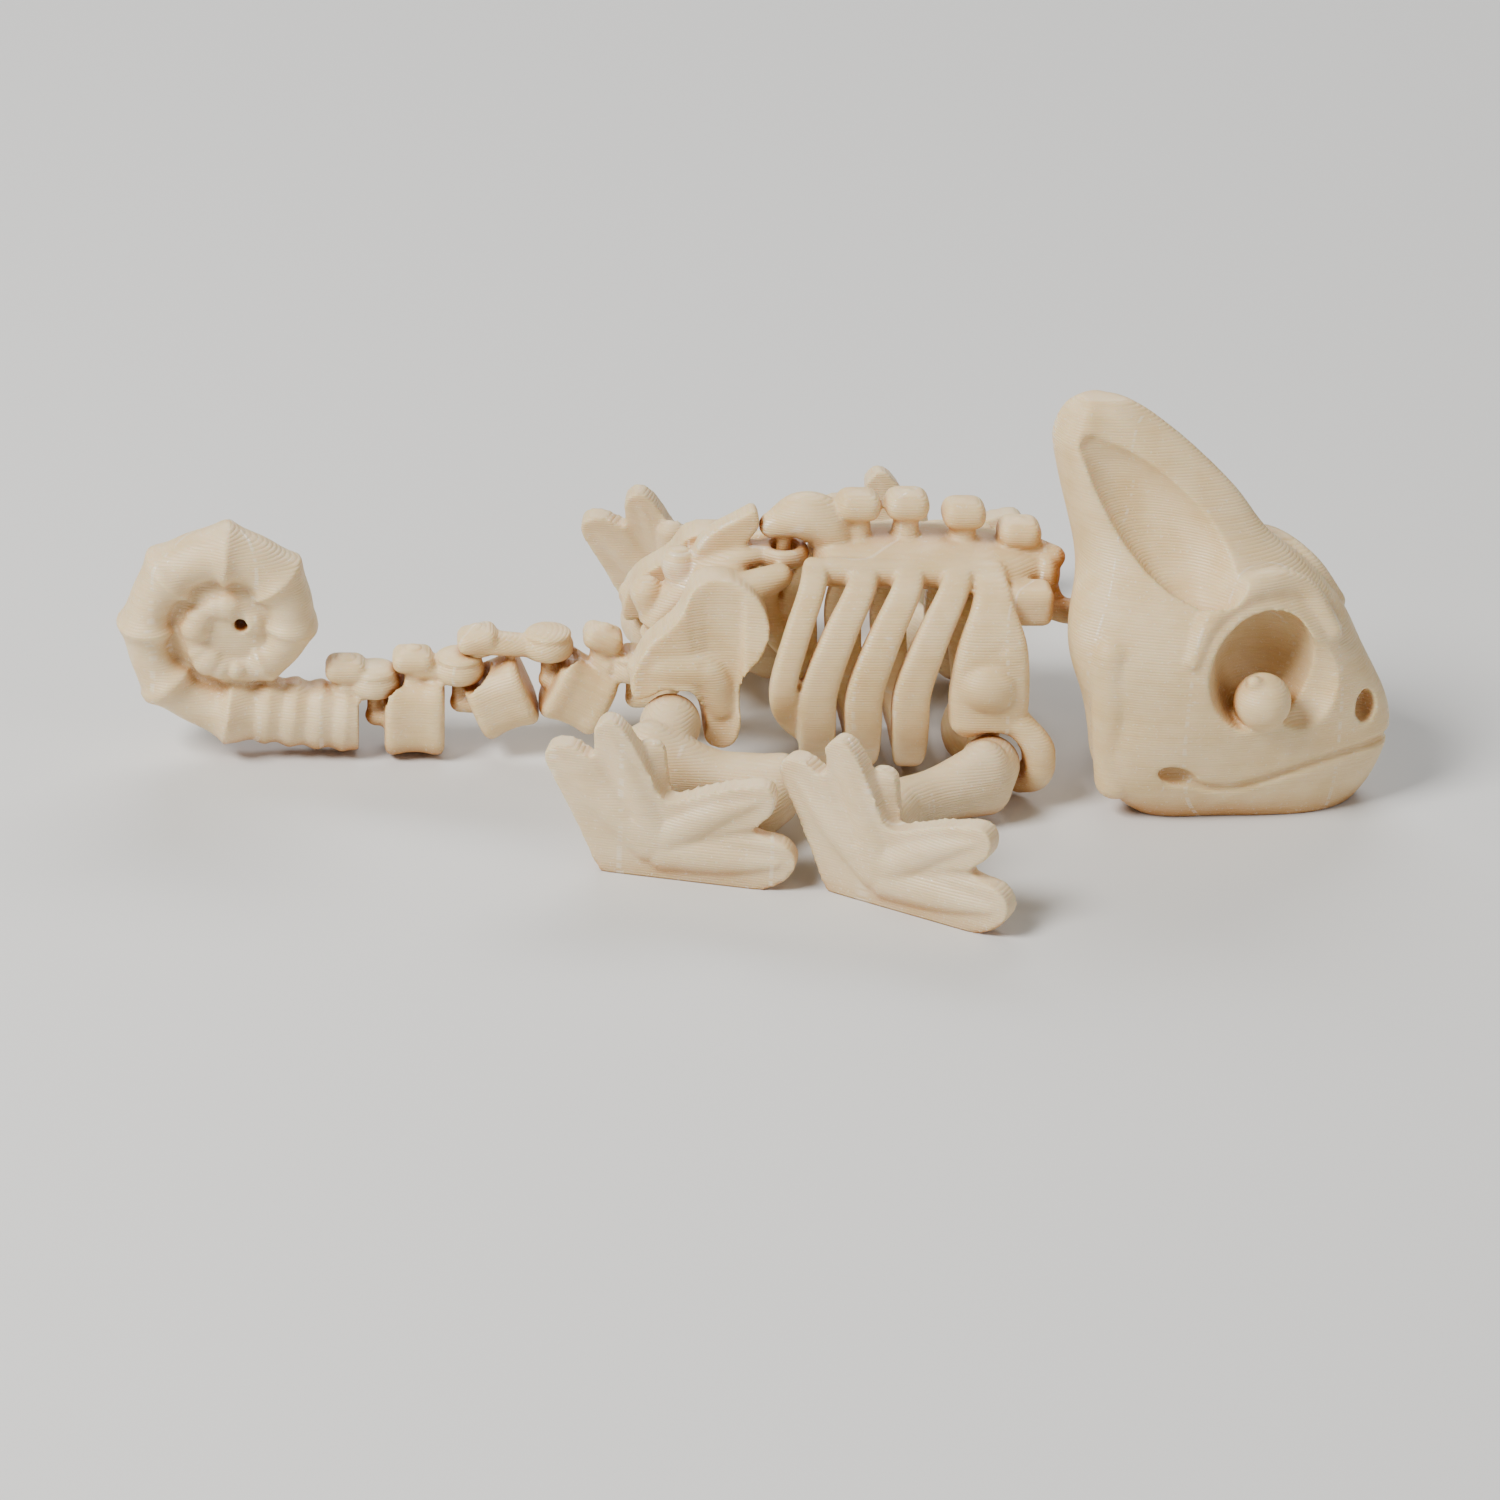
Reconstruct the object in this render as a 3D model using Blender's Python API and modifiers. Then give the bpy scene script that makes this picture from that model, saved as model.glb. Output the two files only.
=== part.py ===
"""A jointed chameleon skeleton, a print-in-place desk toy about 94 mm long, lying on its print bed face.

The animal lies along X with its head at +X and its own right side at -Y. Sizes are in millimetres
and MM turns them into Blender's metres. A leg, a side of the rib cage and an eye are modelled on
the right side, and the left one is its mirror image, turned to where it lies.
"""

import math

import bmesh
import bpy
import numpy as np
from mathutils import Matrix, Vector

MM = 0.001

# Middle of the whole toy's box, which becomes the origin
BOX_MIDDLE_X = -0.18
BOX_MIDDLE_Y = -0.7

# Clearance that the printer leaves round every joint, and between pieces modelled apart
CLEARANCE = 0.38
PART_GAP = 0.34

# How finely a fused piece is rounded off
GRID = 0.3
ROUNDING_PASSES = 3

# Skull, measured from the foot of the casque: forward, out to its own right, up
SKULL_FOOT = (24.0, -2.0)
SKULL_YAW = -13.5
SKULL_LEVELS = [
    # height, back, three (forward, half width), front
    (-0.8, 4.6, (6.4, 6.0), (12.0, 5.2), (18.0, 3.4), 20.2),
    (1.2, 2.6, (4.4, 7.7), (11.5, 6.7), (18.6, 3.9), 21.6),
    (3.5, 1.2, (3.2, 9.0), (10.5, 7.9), (19.0, 4.2), 22.5),
    (6.0, 0.9, (3.0, 9.2), (10.5, 8.3), (19.2, 4.1), 22.9),
    (8.5, 0.2, (2.4, 8.7), (10.5, 8.6), (18.8, 4.2), 22.3),
    (12.0, -0.8, (1.7, 8.2), (10.0, 8.7), (17.2, 5.0), 20.3),
    (15.5, -0.6, (1.8, 6.8), (9.5, 8.0), (15.2, 5.4), 18.5),
    (18.0, -1.2, (1.2, 5.0), (7.5, 6.2), (12.6, 4.8), 16.0),
    (20.5, -1.9, (0.6, 3.9), (5.5, 4.0), (9.8, 2.8), 12.7),
    (23.5, -2.8, (-0.4, 3.2), (3.8, 2.8), (7.4, 1.9), 10.1),
    (26.5, -3.4, (-1.4, 2.7), (1.4, 2.2), (4.4, 1.6), 6.9),
    (28.7, -2.6, (-1.2, 1.9), (0.4, 1.8), (2.0, 1.4), 3.9),
    (29.9, -1.2, (-0.6, 0.9), (0.3, 0.9), (1.0, 0.8), 1.9),
]
ORBIT = (13.6, 12.5)
ORBIT_HALF = (3.9, 4.8)
ORBIT_FLOOR = 2.8
EYE = (13.6, 6.4, 9.8)
EYE_RADIUS = 2.1
EYE_STEM_RADIUS = 1.35
NOSTRIL = (21.0, 8.3)
CASQUE_HOLLOW = [
    # forward, up, half width, half depth
    (0.4, 26.0, 1.4, 1.3),
    (3.0, 23.7, 2.1, 1.7),
    (6.2, 20.8, 2.5, 1.8),
    (9.0, 18.4, 1.9, 1.3),
]
CASQUE_HOLLOW_SUNK = -0.5
BROW = [(8.6, 13.6), (10.2, 16.6), (13.4, 18.0), (16.6, 16.6), (18.6, 13.6)]
BROW_SUNK = 0.4
BROW_HALF = 0.8
CHEEK = [(3.6, 3.0), (3.0, 8.0), (2.6, 13.0)]
CHEEK_SUNK = 1.0
CHEEK_HALF = 1.5

# The line where the jaws meet: forward, up
MOUTH = [(7.8, 4.3), (10.0, 3.2), (12.4, 3.1), (15.0, 3.8), (18.2, 4.7), (21.4, 5.2)]
MOUTH_HALF = 0.55

# Neck, a ball on a post in a socket in the back of the skull
NECK_BALL = (1.3, 0.0, 12.5)
NECK_BALL_RADIUS = 2.4
NECK_POST_RADIUS = 1.0

# Spine over the rib cage
SPINE_HEIGHT = 16.3
SPINE_HALF = (2.0, 1.3)
SPINE_KNOBS = [(7.1, 21.1), (10.65, 21.2), (14.85, 20.5), (19.0, 19.0)]
KNOB_HALF = (1.55, 1.6, 1.3)

# Ribs: where each stands at mid height, and the loop that all follow (out, up, forward of that, half width)
RIBS = [1.4, 4.05, 7.4, 10.85]
RIB_HALF_THICK = 0.85
RIB_LOOP = [
    (3.3, 16.5, 3.6, 0.95),
    (5.4, 15.5, 2.9, 1.0),
    (7.2, 12.8, 1.3, 1.15),
    (7.9, 9.0, 0.0, 1.35),
    (7.6, 6.0, 0.0, 1.35),
    (6.4, 3.5, 0.2, 1.25),
    (4.5, 1.9, 0.4, 1.1),
    (2.4, 1.4, 0.5, 1.0),
]

# Hinge posts of the tail and waist: forward, height of the ring that turns on the post
WAIST = (1.8, 16.2)
TAIL_HINGES = {"pelvis": (-8.9, 6.9), "tail_3": (-15.2, 8.6), "tail_2": (-21.7, 6.7), "tail_1": (-27.9, 5.6)}
POST_RADIUS = 0.55
RING_RADIUS = 1.4
RING_HALF = (0.5, 0.8)

# Three loose tail links: middle, pitch, length, height, knob
TAIL_LINKS = {
    "tail_1": ((-24.8, 2.75), 0.0, 4.0, 5.3, (-25.1, 8.0)),
    "tail_2": ((-18.6, 4.35), -23.0, 4.0, 4.7, (-20.4, 9.8)),
    "tail_3": ((-12.9, 4.8), 25.0, 4.2, 4.7, (-11.2, 9.9)),
}
LINK_HALF_WIDTH = 2.6

# Coiled tail end: spiral radius and half thickness at each quarter turn, from the bottom round by the tip
COIL_MIDDLE = (-38.6, 10.4)
COIL_RADII = [6.7, 5.7, 5.5, 4.5, 2.7, 2.1, 1.9, 1.7]
COIL_THICK = [2.3, 2.1, 2.3, 1.9, 1.15, 1.55, 1.5, 1.1]
COIL_WIDTH = [2.7, 2.9, 2.9, 2.6, 2.0, 1.7, 1.4, 1.0]
COIL_RIDGES = 8
COIL_RIDGE = 0.45
COIL_TURNS = 1.7

# Leg sockets, which are balls in the pelvis and in the shoulder plates
HIP = (-6.6, -8.0, 6.2)
SHOULDER = (16.6, -9.4, 3.6)
LIMB_BALL_RADIUS = 2.25
SOCKET_RADIUS = LIMB_BALL_RADIUS + CLEARANCE

# Feet, measured in the foot's own upright plane: along, up
HIND_FOOT = ((-15.7, -16.9), -14.3)
FRONT_FOOT = ((0.8, -18.8), -32.2)
FOOT_HALF_THICK = 1.2
TOES = {
    "outer back": [(7.0, 2.2, 2.2), (3.8, 5.4, 1.7), (0.9, 8.3, 0.85)],
    "inner back": [(7.6, 3.0, 2.2), (6.0, 7.4, 1.6), (4.5, 10.9, 0.85)],
    "inner front": [(8.0, 2.8, 2.2), (12.0, 5.6, 1.6), (15.4, 7.1, 0.85)],
    "outer front": [(8.0, 1.8, 2.2), (13.0, 1.9, 1.9), (16.7, 2.1, 0.95)],
}

# How the left legs lie, turned outwards from the mirror image of the right ones
LEFT_HIND_TURN = (-22.0, 8.0)
LEFT_FRONT_TURN = (-29.0, 0.0)

BONE = (0.80, 0.67, 0.47)
BONE_ROUGHNESS = 0.45


def smooth_path(stations, steps):
    """Rows of numbers on a Catmull-Rom curve through the stations."""
    rows = [np.array(station, float) for station in stations]
    rows = [2 * rows[0] - rows[1]] + rows + [2 * rows[-1] - rows[-2]]
    path = []
    for before, start, end, after in zip(rows, rows[1:], rows[2:], rows[3:]):
        for t in np.arange(steps) / steps:
            bend = (2 * before - 5 * start + 4 * end - after) * t**2
            twist = (3 * start - before - 3 * end + after) * t**3
            path.append((2 * start + (end - before) * t + bend + twist) / 2)
    path.append(rows[-2])
    return path


def mesh_object(name, mesh_data):
    """An object holding this bmesh, which is freed."""
    mesh = bpy.data.meshes.new(name)
    mesh_data.to_mesh(mesh)
    mesh_data.free()
    made = bpy.data.objects.new(name, mesh)
    bpy.context.scene.collection.objects.link(made)
    return made


def ball(middle, half, yaw=0.0, pitch=0.0):
    """An ellipsoid. The pitch lowers its +X end, and the yaw then turns it to the left."""
    shape = bmesh.new()
    bmesh.ops.create_uvsphere(shape, u_segments=20, v_segments=12, radius=1.0)
    half = (half,) * 3 if isinstance(half, float) else half
    turn = Matrix.Rotation(math.radians(yaw), 4, "Z") @ Matrix.Rotation(math.radians(pitch), 4, "Y")
    place = Matrix.Translation(middle) @ turn @ Matrix.Diagonal((*half, 1.0))
    bmesh.ops.transform(shape, matrix=place, verts=shape.verts)
    return mesh_object("ball", shape)


def block(middle, size, pitch=0.0, edge=0.0):
    """A box, with rounded edges where edge is given. The pitch lowers its +X end."""
    shape = bmesh.new()
    bmesh.ops.create_cube(shape, size=1.0)
    bmesh.ops.transform(shape, matrix=Matrix.Diagonal((*size, 1.0)), verts=shape.verts)
    if edge:
        bmesh.ops.bevel(shape, geom=shape.edges[:], offset=edge, segments=3, profile=0.5, affect="EDGES")
    place = Matrix.Translation(middle) @ Matrix.Rotation(math.radians(pitch), 4, "Y")
    bmesh.ops.transform(shape, matrix=place, verts=shape.verts)
    return mesh_object("block", shape)


def ring(middle, radius, half):
    """A level ring; half is its half thickness across and up."""
    shape = bmesh.new()
    turns, sides = 28, 10
    rows = []
    for turn in np.linspace(0, 2 * math.pi, turns, endpoint=False):
        row = []
        for side in np.linspace(0, 2 * math.pi, sides, endpoint=False):
            reach = radius + half[0] * math.cos(side)
            at = (reach * math.cos(turn), reach * math.sin(turn), half[1] * math.sin(side))
            row.append(shape.verts.new(Vector(middle) + Vector(at)))
        rows.append(row)
    join_rows(shape, rows + rows[:1])
    return mesh_object("ring", shape)


def join_rows(shape, rows):
    """Quads between each closed row of vertices and the next."""
    for row, other in zip(rows, rows[1:]):
        for n in range(len(row)):
            after = (n + 1) % len(row)
            shape.faces.new((row[n], row[after], other[after], other[n]))


def tube(stations, up=(0, 0, 1), sides=16, steps=5):
    """A closed round-ended tube. Each station is x, y, z and the half size across and along up."""
    shape = bmesh.new()
    stations = [(*row, row[3]) if len(row) == 4 else row for row in stations]
    path = smooth_path(stations, steps)
    points = [Vector(row[:3]) for row in path]
    rows = []

    def add_row(at, across, rise, half_across, half_rise):
        row = []
        for angle in np.linspace(0, 2 * math.pi, sides, endpoint=False):
            offset = across * half_across * math.cos(angle) + rise * half_rise * math.sin(angle)
            row.append(shape.verts.new(at + offset))
        rows.append(row)

    for n, row in enumerate(path):
        along = (points[min(n + 1, len(points) - 1)] - points[max(n - 1, 0)]).normalized()
        across = along.cross(Vector(up)).normalized()
        rise = across.cross(along)
        bulge = min(row[3], row[4])
        if n == 0:
            for angle in (75, 50, 25):
                back = -along * bulge * math.sin(math.radians(angle))
                shrink = math.cos(math.radians(angle))
                add_row(points[n] + back, across, rise, row[3] * shrink, row[4] * shrink)
        add_row(points[n], across, rise, row[3], row[4])
        if n == len(path) - 1:
            for angle in (25, 50, 75):
                ahead = along * bulge * math.sin(math.radians(angle))
                shrink = math.cos(math.radians(angle))
                add_row(points[n] + ahead, across, rise, row[3] * shrink, row[4] * shrink)
    join_rows(shape, rows)
    shape.faces.new(rows[0][::-1])
    shape.faces.new(rows[-1])
    bmesh.ops.recalc_face_normals(shape, faces=shape.faces)
    return mesh_object("tube", shape)


def outline(level, steps=5):
    """The smooth closed loop of (forward, out) through a level's back, widths and front."""
    _, back, *widths, front = level
    left = [(forward, -half) for forward, half in reversed(widths)]
    loop = [(back, 0.0), *widths, (front, 0.0), *left]
    return smooth_path([loop[-1], *loop, *loop[:2]], steps)[steps : -steps - 1]


def layered(levels, place):
    """A solid through outlines, each given by height, back, three (forward, half width) and front."""
    shape = bmesh.new()
    rows = []
    for level in levels:
        row = [shape.verts.new(place((forward, half, level[0]))) for forward, half in outline(level)]
        rows.append(row)
    join_rows(shape, rows)
    shape.faces.new(rows[0][::-1])
    shape.faces.new(rows[-1])
    bmesh.ops.recalc_face_normals(shape, faces=shape.faces)
    return mesh_object("layered", shape)


def frame_at(foot, yaw):
    """A function from (forward, to the right, up) in a turned frame to the toy's own axes."""
    turn = Matrix.Rotation(math.radians(yaw), 3, "Z")

    def place(at):
        forward, right, up = at
        return Vector((foot[0], foot[1], 0.0)) + turn @ Vector((forward, -right, up))

    return place


def boolean(target, others, operation, solver="EXACT"):
    """Joins the others to the target, or cuts them from it, and removes them."""
    group = bpy.data.collections.new("group")
    for other in others:
        group.objects.link(other)
    change = target.modifiers.new("boolean", "BOOLEAN")
    change.operation = operation
    change.operand_type = "COLLECTION"
    change.collection = group
    change.solver = solver
    apply_modifiers(target)
    for other in others:
        bpy.data.objects.remove(other)
    bpy.data.collections.remove(group)


def apply_modifiers(target):
    bpy.context.view_layer.update()
    graph = bpy.context.evaluated_depsgraph_get()
    mesh = bpy.data.meshes.new_from_object(target.evaluated_get(graph))
    target.modifiers.clear()
    target.data = mesh


def keep_largest(target):
    """Drops every closed surface but the one round the most space."""
    shape = bmesh.new()
    shape.from_mesh(target.data)
    left = set(shape.verts)
    groups = []
    while left:
        reached = [left.pop()]
        for vert in reached:
            for edge in vert.link_edges:
                other = edge.other_vert(vert)
                if other in left:
                    left.remove(other)
                    reached.append(other)
        groups.append(reached)

    def spread(group):
        at = np.array([vert.co for vert in group])
        return np.prod(np.ptp(at, axis=0))

    groups.sort(key=spread)
    for group in groups[:-1]:
        bmesh.ops.delete(shape, geom=group, context="VERTS")
    shape.to_mesh(target.data)
    shape.free()


def fuse(name, pieces, cutters=(), added=(), triangles=1000, pivot=(0, 0, 0), on_floor=False):
    """One printed piece: pieces joined, cutters taken away, added pieces joined, all rounded off."""
    body, *others = pieces
    body.name = name
    if others:
        boolean(body, others, "UNION")
    if cutters:
        boolean(body, list(cutters), "DIFFERENCE")
    if added:
        boolean(body, list(added), "UNION")
    grid = body.modifiers.new("grid", "REMESH")
    grid.mode = "VOXEL"
    grid.voxel_size = GRID
    rounding = body.modifiers.new("rounding", "SMOOTH")
    rounding.iterations = ROUNDING_PASSES
    apply_modifiers(body)
    keep_largest(body)
    even = body.modifiers.new("facets", "TRIANGULATE")
    fewer = body.modifiers.new("fewer", "DECIMATE")
    fewer.ratio = min(1.0, triangles / (2 * len(body.data.polygons)))
    apply_modifiers(body)
    if on_floor:
        boolean(body, [block((0, 0, -5), (200, 200, 10))], "DIFFERENCE")
        keep_largest(body)
    return finish(body, pivot)


def finish(body, pivot):
    """Moves the object's origin to its pivot, gives it metres, and puts the toy's box over the origin."""
    pivot = Vector(pivot)
    body.data.transform(Matrix.Scale(MM, 4) @ Matrix.Translation(-pivot))
    body.location = (pivot - Vector((BOX_MIDDLE_X, BOX_MIDDLE_Y, 0.0))) * MM
    body.data.shade_smooth()
    body.data.set_sharp_from_angle(angle=math.radians(50))
    material = bpy.data.materials.new(body.name + "_plastic")
    material.use_nodes = True
    shader = material.node_tree.nodes["Principled BSDF"]
    shader.inputs["Base Color"].default_value = (*BONE, 1.0)
    shader.inputs["Roughness"].default_value = BONE_ROUGHNESS
    body.data.materials.clear()
    body.data.materials.append(material)
    for collection in body.users_collection:
        collection.objects.unlink(body)
    toy.objects.link(body)
    return body


def mirrored(name, source, pivot, yaw=0.0, roll=0.0):
    """The other side's copy of a piece, turned about its own pivot; the roll lifts its outer end."""
    mesh = source.data.copy()
    mesh.transform(Matrix.Diagonal((1, -1, 1, 1)))
    mesh.flip_normals()
    turn = Matrix.Rotation(math.radians(yaw), 4, "Z") @ Matrix.Rotation(math.radians(roll), 4, "X")
    mesh.transform(turn)
    made = bpy.data.objects.new(name, mesh)
    toy.objects.link(made)
    pivot = Vector((pivot[0], -pivot[1], pivot[2]))
    made.location = (pivot - Vector((BOX_MIDDLE_X, BOX_MIDDLE_Y, 0.0))) * MM
    mesh.materials.clear()
    mesh.materials.append(source.data.materials[0].copy())
    return made


def skull_side(forward, up):
    """How far out the side of the skull's plain form stands at this place."""
    heights = [level[0] for level in SKULL_LEVELS]
    rows = [(back, *sum(widths, ()), front) for _, back, *widths, front in SKULL_LEVELS]
    back, *sizes, front = [np.interp(up, heights, column) for column in zip(*rows)]
    level = (up, back, *zip(sizes[0::2], sizes[1::2]), front)
    side = sorted((along, out) for along, out in outline(level) if out >= 0)
    return float(np.interp(forward, *zip(*side)))


def make_skull():
    """The casqued skull with its orbits, nostrils, closed mouth line and the socket for the neck."""
    place = frame_at(SKULL_FOOT, SKULL_YAW)
    pieces = [layered(SKULL_LEVELS, place)]
    cutters = [ball(place(NECK_BALL), NECK_BALL_RADIUS + CLEARANCE)]
    for side in (1, -1):

        def at(forward, out, up, *half):
            return (*place((forward, side * out, up)), *half)

        def on_side(forward, up, sunk, *half):
            return at(forward, skull_side(forward, up) - sunk, up, *half)

        brow = [on_side(forward, up, BROW_SUNK, BROW_HALF) for forward, up in BROW]
        cheek = [on_side(forward, up, CHEEK_SUNK, CHEEK_HALF) for forward, up in CHEEK]
        pieces += [tube(brow), tube(cheek, up=(0, 1, 0))]
        inner = at(ORBIT[0], ORBIT_FLOOR + 2.0, ORBIT[1], ORBIT_HALF[1] * 0.85, ORBIT_HALF[0] * 0.9)
        outer = at(ORBIT[0], 11.0, ORBIT[1], ORBIT_HALF[1] * 1.05, ORBIT_HALF[0] * 1.05)
        cutters.append(tube([inner, outer], up=place((1, 0, 0)) - place((0, 0, 0)), sides=24))
        cutters.append(ball(on_side(16.8, 11.6, -0.6), (3.2, 2.4, 3.8), SKULL_YAW + side * 20))
        cutters.append(ball(at(*EYE), EYE_RADIUS + PART_GAP))
        stem = EYE_STEM_RADIUS + PART_GAP
        cutters.append(tube([at(*EYE, stem), at(EYE[0], ORBIT_FLOOR, EYE[2], stem)]))
        cutters.append(ball(on_side(*NOSTRIL, 0.1), (1.2, 1.1, 1.35), SKULL_YAW + side * 30))
        hollow = [on_side(forward, up, CASQUE_HOLLOW_SUNK, *half) for forward, up, *half in CASQUE_HOLLOW]
        cutters.append(tube(hollow, up=place((0, 1, 0)) - place((0, 0, 0))))
        groove = [on_side(forward, up, 0.0, MOUTH_HALF) for forward, up in MOUTH]
        cutters.append(tube([*groove, at(23.2, 0.0, 5.3, MOUTH_HALF)], sides=10))
        cutters.append(ball(on_side(*MOUTH[0], 0.2), (1.5, 1.1, 0.9), SKULL_YAW))
    return fuse("skull", pieces, cutters, triangles=2100, pivot=place(NECK_BALL), on_floor=True)


def make_eye(name, side):
    """An eyeball on a short stem that stands in the orbit."""
    place = frame_at(SKULL_FOOT, SKULL_YAW)

    def at(forward, out, up):
        return place((forward, side * out, up))

    globe = ball(at(*EYE), EYE_RADIUS)
    nub = ball(at(EYE[0] - 0.9, EYE[1] + 0.6, EYE[2] + 1.6), 0.7)
    inner = (*at(EYE[0], ORBIT_FLOOR + 1.6, EYE[2]), EYE_STEM_RADIUS)
    stem = tube([(*at(*EYE), EYE_STEM_RADIUS), inner])
    return fuse(name, [globe, nub, stem], triangles=160, pivot=at(*EYE))


def knob(forward, top, half, foot):
    """A mushroom knob standing on the spine."""
    cap = ball((forward, 0, top - half[2]), half)
    neck = tube([(forward, 0, foot, 1.0), (forward, 0, top - half[2], 1.05)], up=(0, 1, 0))
    return [cap, neck]


def make_spine():
    """The vertebrae over the chest, the knobs on them, the waist's overhead arm and the neck post."""
    width, height = SPINE_HALF
    bar = [(5.4, 0, SPINE_HEIGHT, width, height), (12, 0, SPINE_HEIGHT, width, height)]
    bar += [(17, 0, SPINE_HEIGHT - 0.3, width, height), (20.4, 0, 15.0, 1.8, 1.8)]
    pieces = [tube(bar)]
    for forward, top in SPINE_KNOBS:
        pieces += knob(forward, top, KNOB_HALF, SPINE_HEIGHT)
    hook = [(5.6, 0, 17.0, 1.5), (4.4, 0, 19.3, 1.6), (2.9, 0, 19.9, 1.3), (0.9, 0, 18.9, 0.95)]
    pieces.append(tube(hook))
    pieces.append(tube([(WAIST[0], 0, 18.8, POST_RADIUS), (WAIST[0], 0, 15.2, POST_RADIUS)], up=(0, 1, 0)))
    shoulders = [(19.7, -5.0, 14.3, 1.3, 1.2), (19.7, 0, 14.8, 1.4, 1.4), (19.7, 5.0, 14.3, 1.3, 1.2)]
    pieces.append(tube(shoulders))
    place = frame_at(SKULL_FOOT, SKULL_YAW)
    neck_ball = place(NECK_BALL)
    post_foot = place((NECK_BALL[0] - 3.3, 0, NECK_BALL[2]))
    pieces.append(ball(neck_ball, NECK_BALL_RADIUS))
    post = [(*neck_ball, NECK_POST_RADIUS), (*post_foot, NECK_POST_RADIUS), (20.4, -0.2, 14.2, 1.6)]
    pieces.append(tube(post))
    pieces.append(tube([(19.8, 0, 16.4, 1.1), (21.6, -0.6, 16.2, 0.9)]))
    return fuse("spine", pieces, triangles=1200)


def make_ribs():
    """The right side of the rib cage: four ribs, the shoulder plate and the rails that join them."""
    pieces = []
    for forward in RIBS[1:]:
        rib = [(forward + lean, -out, up, half, RIB_HALF_THICK) for out, up, lean, half in RIB_LOOP]
        pieces.append(rib_tube(rib))
    first = [(RIBS[0] + lean * 0.7, -out, up, 0.97, RIB_HALF_THICK) for out, up, lean, _ in RIB_LOOP[:4]]
    first += [(2.1, -7.0, 6.4, 0.9, 0.8), (4.2, -6.2, 4.3, 0.8, 0.8)]
    pieces.append(rib_tube(first))
    pieces.append(tube([(4.9, -3.4, 16.3, 1.0, 1.1), (17.0, -3.4, 16.0, 1.0, 1.1)]))
    pieces.append(tube([(4.6, -2.4, 1.4, 0.8), (17.0, -2.4, 1.4, 0.8)]))
    plate = [(16.5, -3.6, 15.9, 1.1, 0.9), (16.4, -6.0, 14.6, 1.3, 1.0), (16.5, -7.6, 12.2, 2.7, 1.1)]
    plate += [(16.4, -8.1, 9.0, 3.0, 1.3), (16.3, -8.2, 6.6, 2.8, 1.4)]
    pieces.append(rib_tube(plate))
    pieces.append(ball((16.2, -8.8, 9.4), (2.1, 1.3, 1.9)))
    lip = [(18.6, -8.6, 6.6, 1.1), (20.1, -8.9, 4.6, 1.3), (20.1, -8.6, 2.6, 1.3), (19.2, -7.4, 1.5, 1.1)]
    brace = [(19.2, -7.0, 1.5, 1.1), (16.6, -4.4, 1.6, 1.1), (15.0, -2.4, 1.4, 0.8)]
    backing = [(16.5, -6.4, 8.0, 1.6), (16.6, -5.4, 4.0, 1.2), (16.6, -4.4, 1.7, 1.1)]
    pieces += [tube(lip), tube(brace), tube(backing, up=(1, 0, 0))]
    cutters = [ball(SHOULDER, SOCKET_RADIUS)]
    return fuse("ribs_right", pieces, cutters, triangles=1200)


def rib_tube(stations):
    """A flat strip: each station's half sizes are along X and through the strip."""
    return tube([(x, y, z, thick, wide) for x, y, z, wide, thick in stations], up=(1, 0, 0), sides=14)


def make_pelvis():
    """The hip vertebrae with three knobs, the two hip blades, the waist ring and the tail's hook."""
    waist_ring = ring((WAIST[0], 0, WAIST[1]), RING_RADIUS, RING_HALF)
    pieces = [waist_ring]
    pieces.append(tube([(0.5, 0, 16.2, 1.1, 0.8), (-1.5, 0, 15.9, 1.8, 1.2), (-3.6, 0, 14.6, 2.2, 1.8)]))
    column = [(-3.4, 0, 14.8, 2.0, 1.6), (-5.4, 0, 12.8, 2.0, 1.7), (-7.2, 0, 10.6, 1.8, 1.5)]
    column += [(-6.1, 0, 7.8, 1.6, 1.3), (-6.6, 0, 5.0, 1.3, 1.0), (-8.7, 0, 4.4, 1.0, 0.8)]
    pieces.append(tube(column))
    pieces.append(tube([(-3.2, 0, 16.0, 1.0, 1.5), (-2.6, 0, 17.8, 0.9, 1.1), (-1.3, 0, 19.0, 0.8, 0.7)]))
    pieces.append(ball((-1.2, 0, 18.4), (0.75, 0.9, 1.0)))
    pieces.append(tube([(-5.3, 0, 13.4, 1.2), (-5.8, 0, 15.2, 1.3)], up=(0, 1, 0)))
    pieces.append(tube([(-7.4, 0, 11.0, 1.1), (-8.2, 0, 13.0, 1.15)], up=(0, 1, 0)))
    cutters = []
    for side in (1, -1):

        def at(forward, out, up):
            return (forward, -side * out, up)

        pieces.append(ball(at(-2.5, 2.8, 14.4), (2.7, 2.4, 1.7)))
        pieces.append(ball(at(-2.7, 5.0, 13.0), (3.1, 1.5, 2.7)))
        pieces.append(ball(at(-4.6, 6.1, 10.6), (3.9, 1.6, 2.7)))
        pieces.append(ball(at(-7.8, 6.6, 9.6), (1.7, 1.5, 2.1)))
        pubis = [(*at(-3.2, 6.6, 9.0), 1.6), (*at(-3.0, 6.9, 6.8), 1.5), (*at(-2.9, 6.7, 5.6), 1.35)]
        pieces.append(tube(pubis))
        pieces.append(tube([(*at(-4.0, 1.0, 11.6), 1.6), (*at(-4.4, 5.4, 9.6), 1.5)]))
        cutters.append(ball(at(HIP[0], -HIP[1], HIP[2]), SOCKET_RADIUS))
    hinge = TAIL_HINGES["pelvis"]
    post = [(hinge[0], 0, 4.4, POST_RADIUS), (hinge[0], 0, 8.0, POST_RADIUS)]
    cutters += [hinge_bore(WAIST)]
    cutters += [ring_pocket(hinge)]
    pivot = (WAIST[0], 0, WAIST[1])
    return fuse("pelvis", pieces, cutters, [tube(post, up=(0, 1, 0))], triangles=1500, pivot=pivot)


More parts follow.
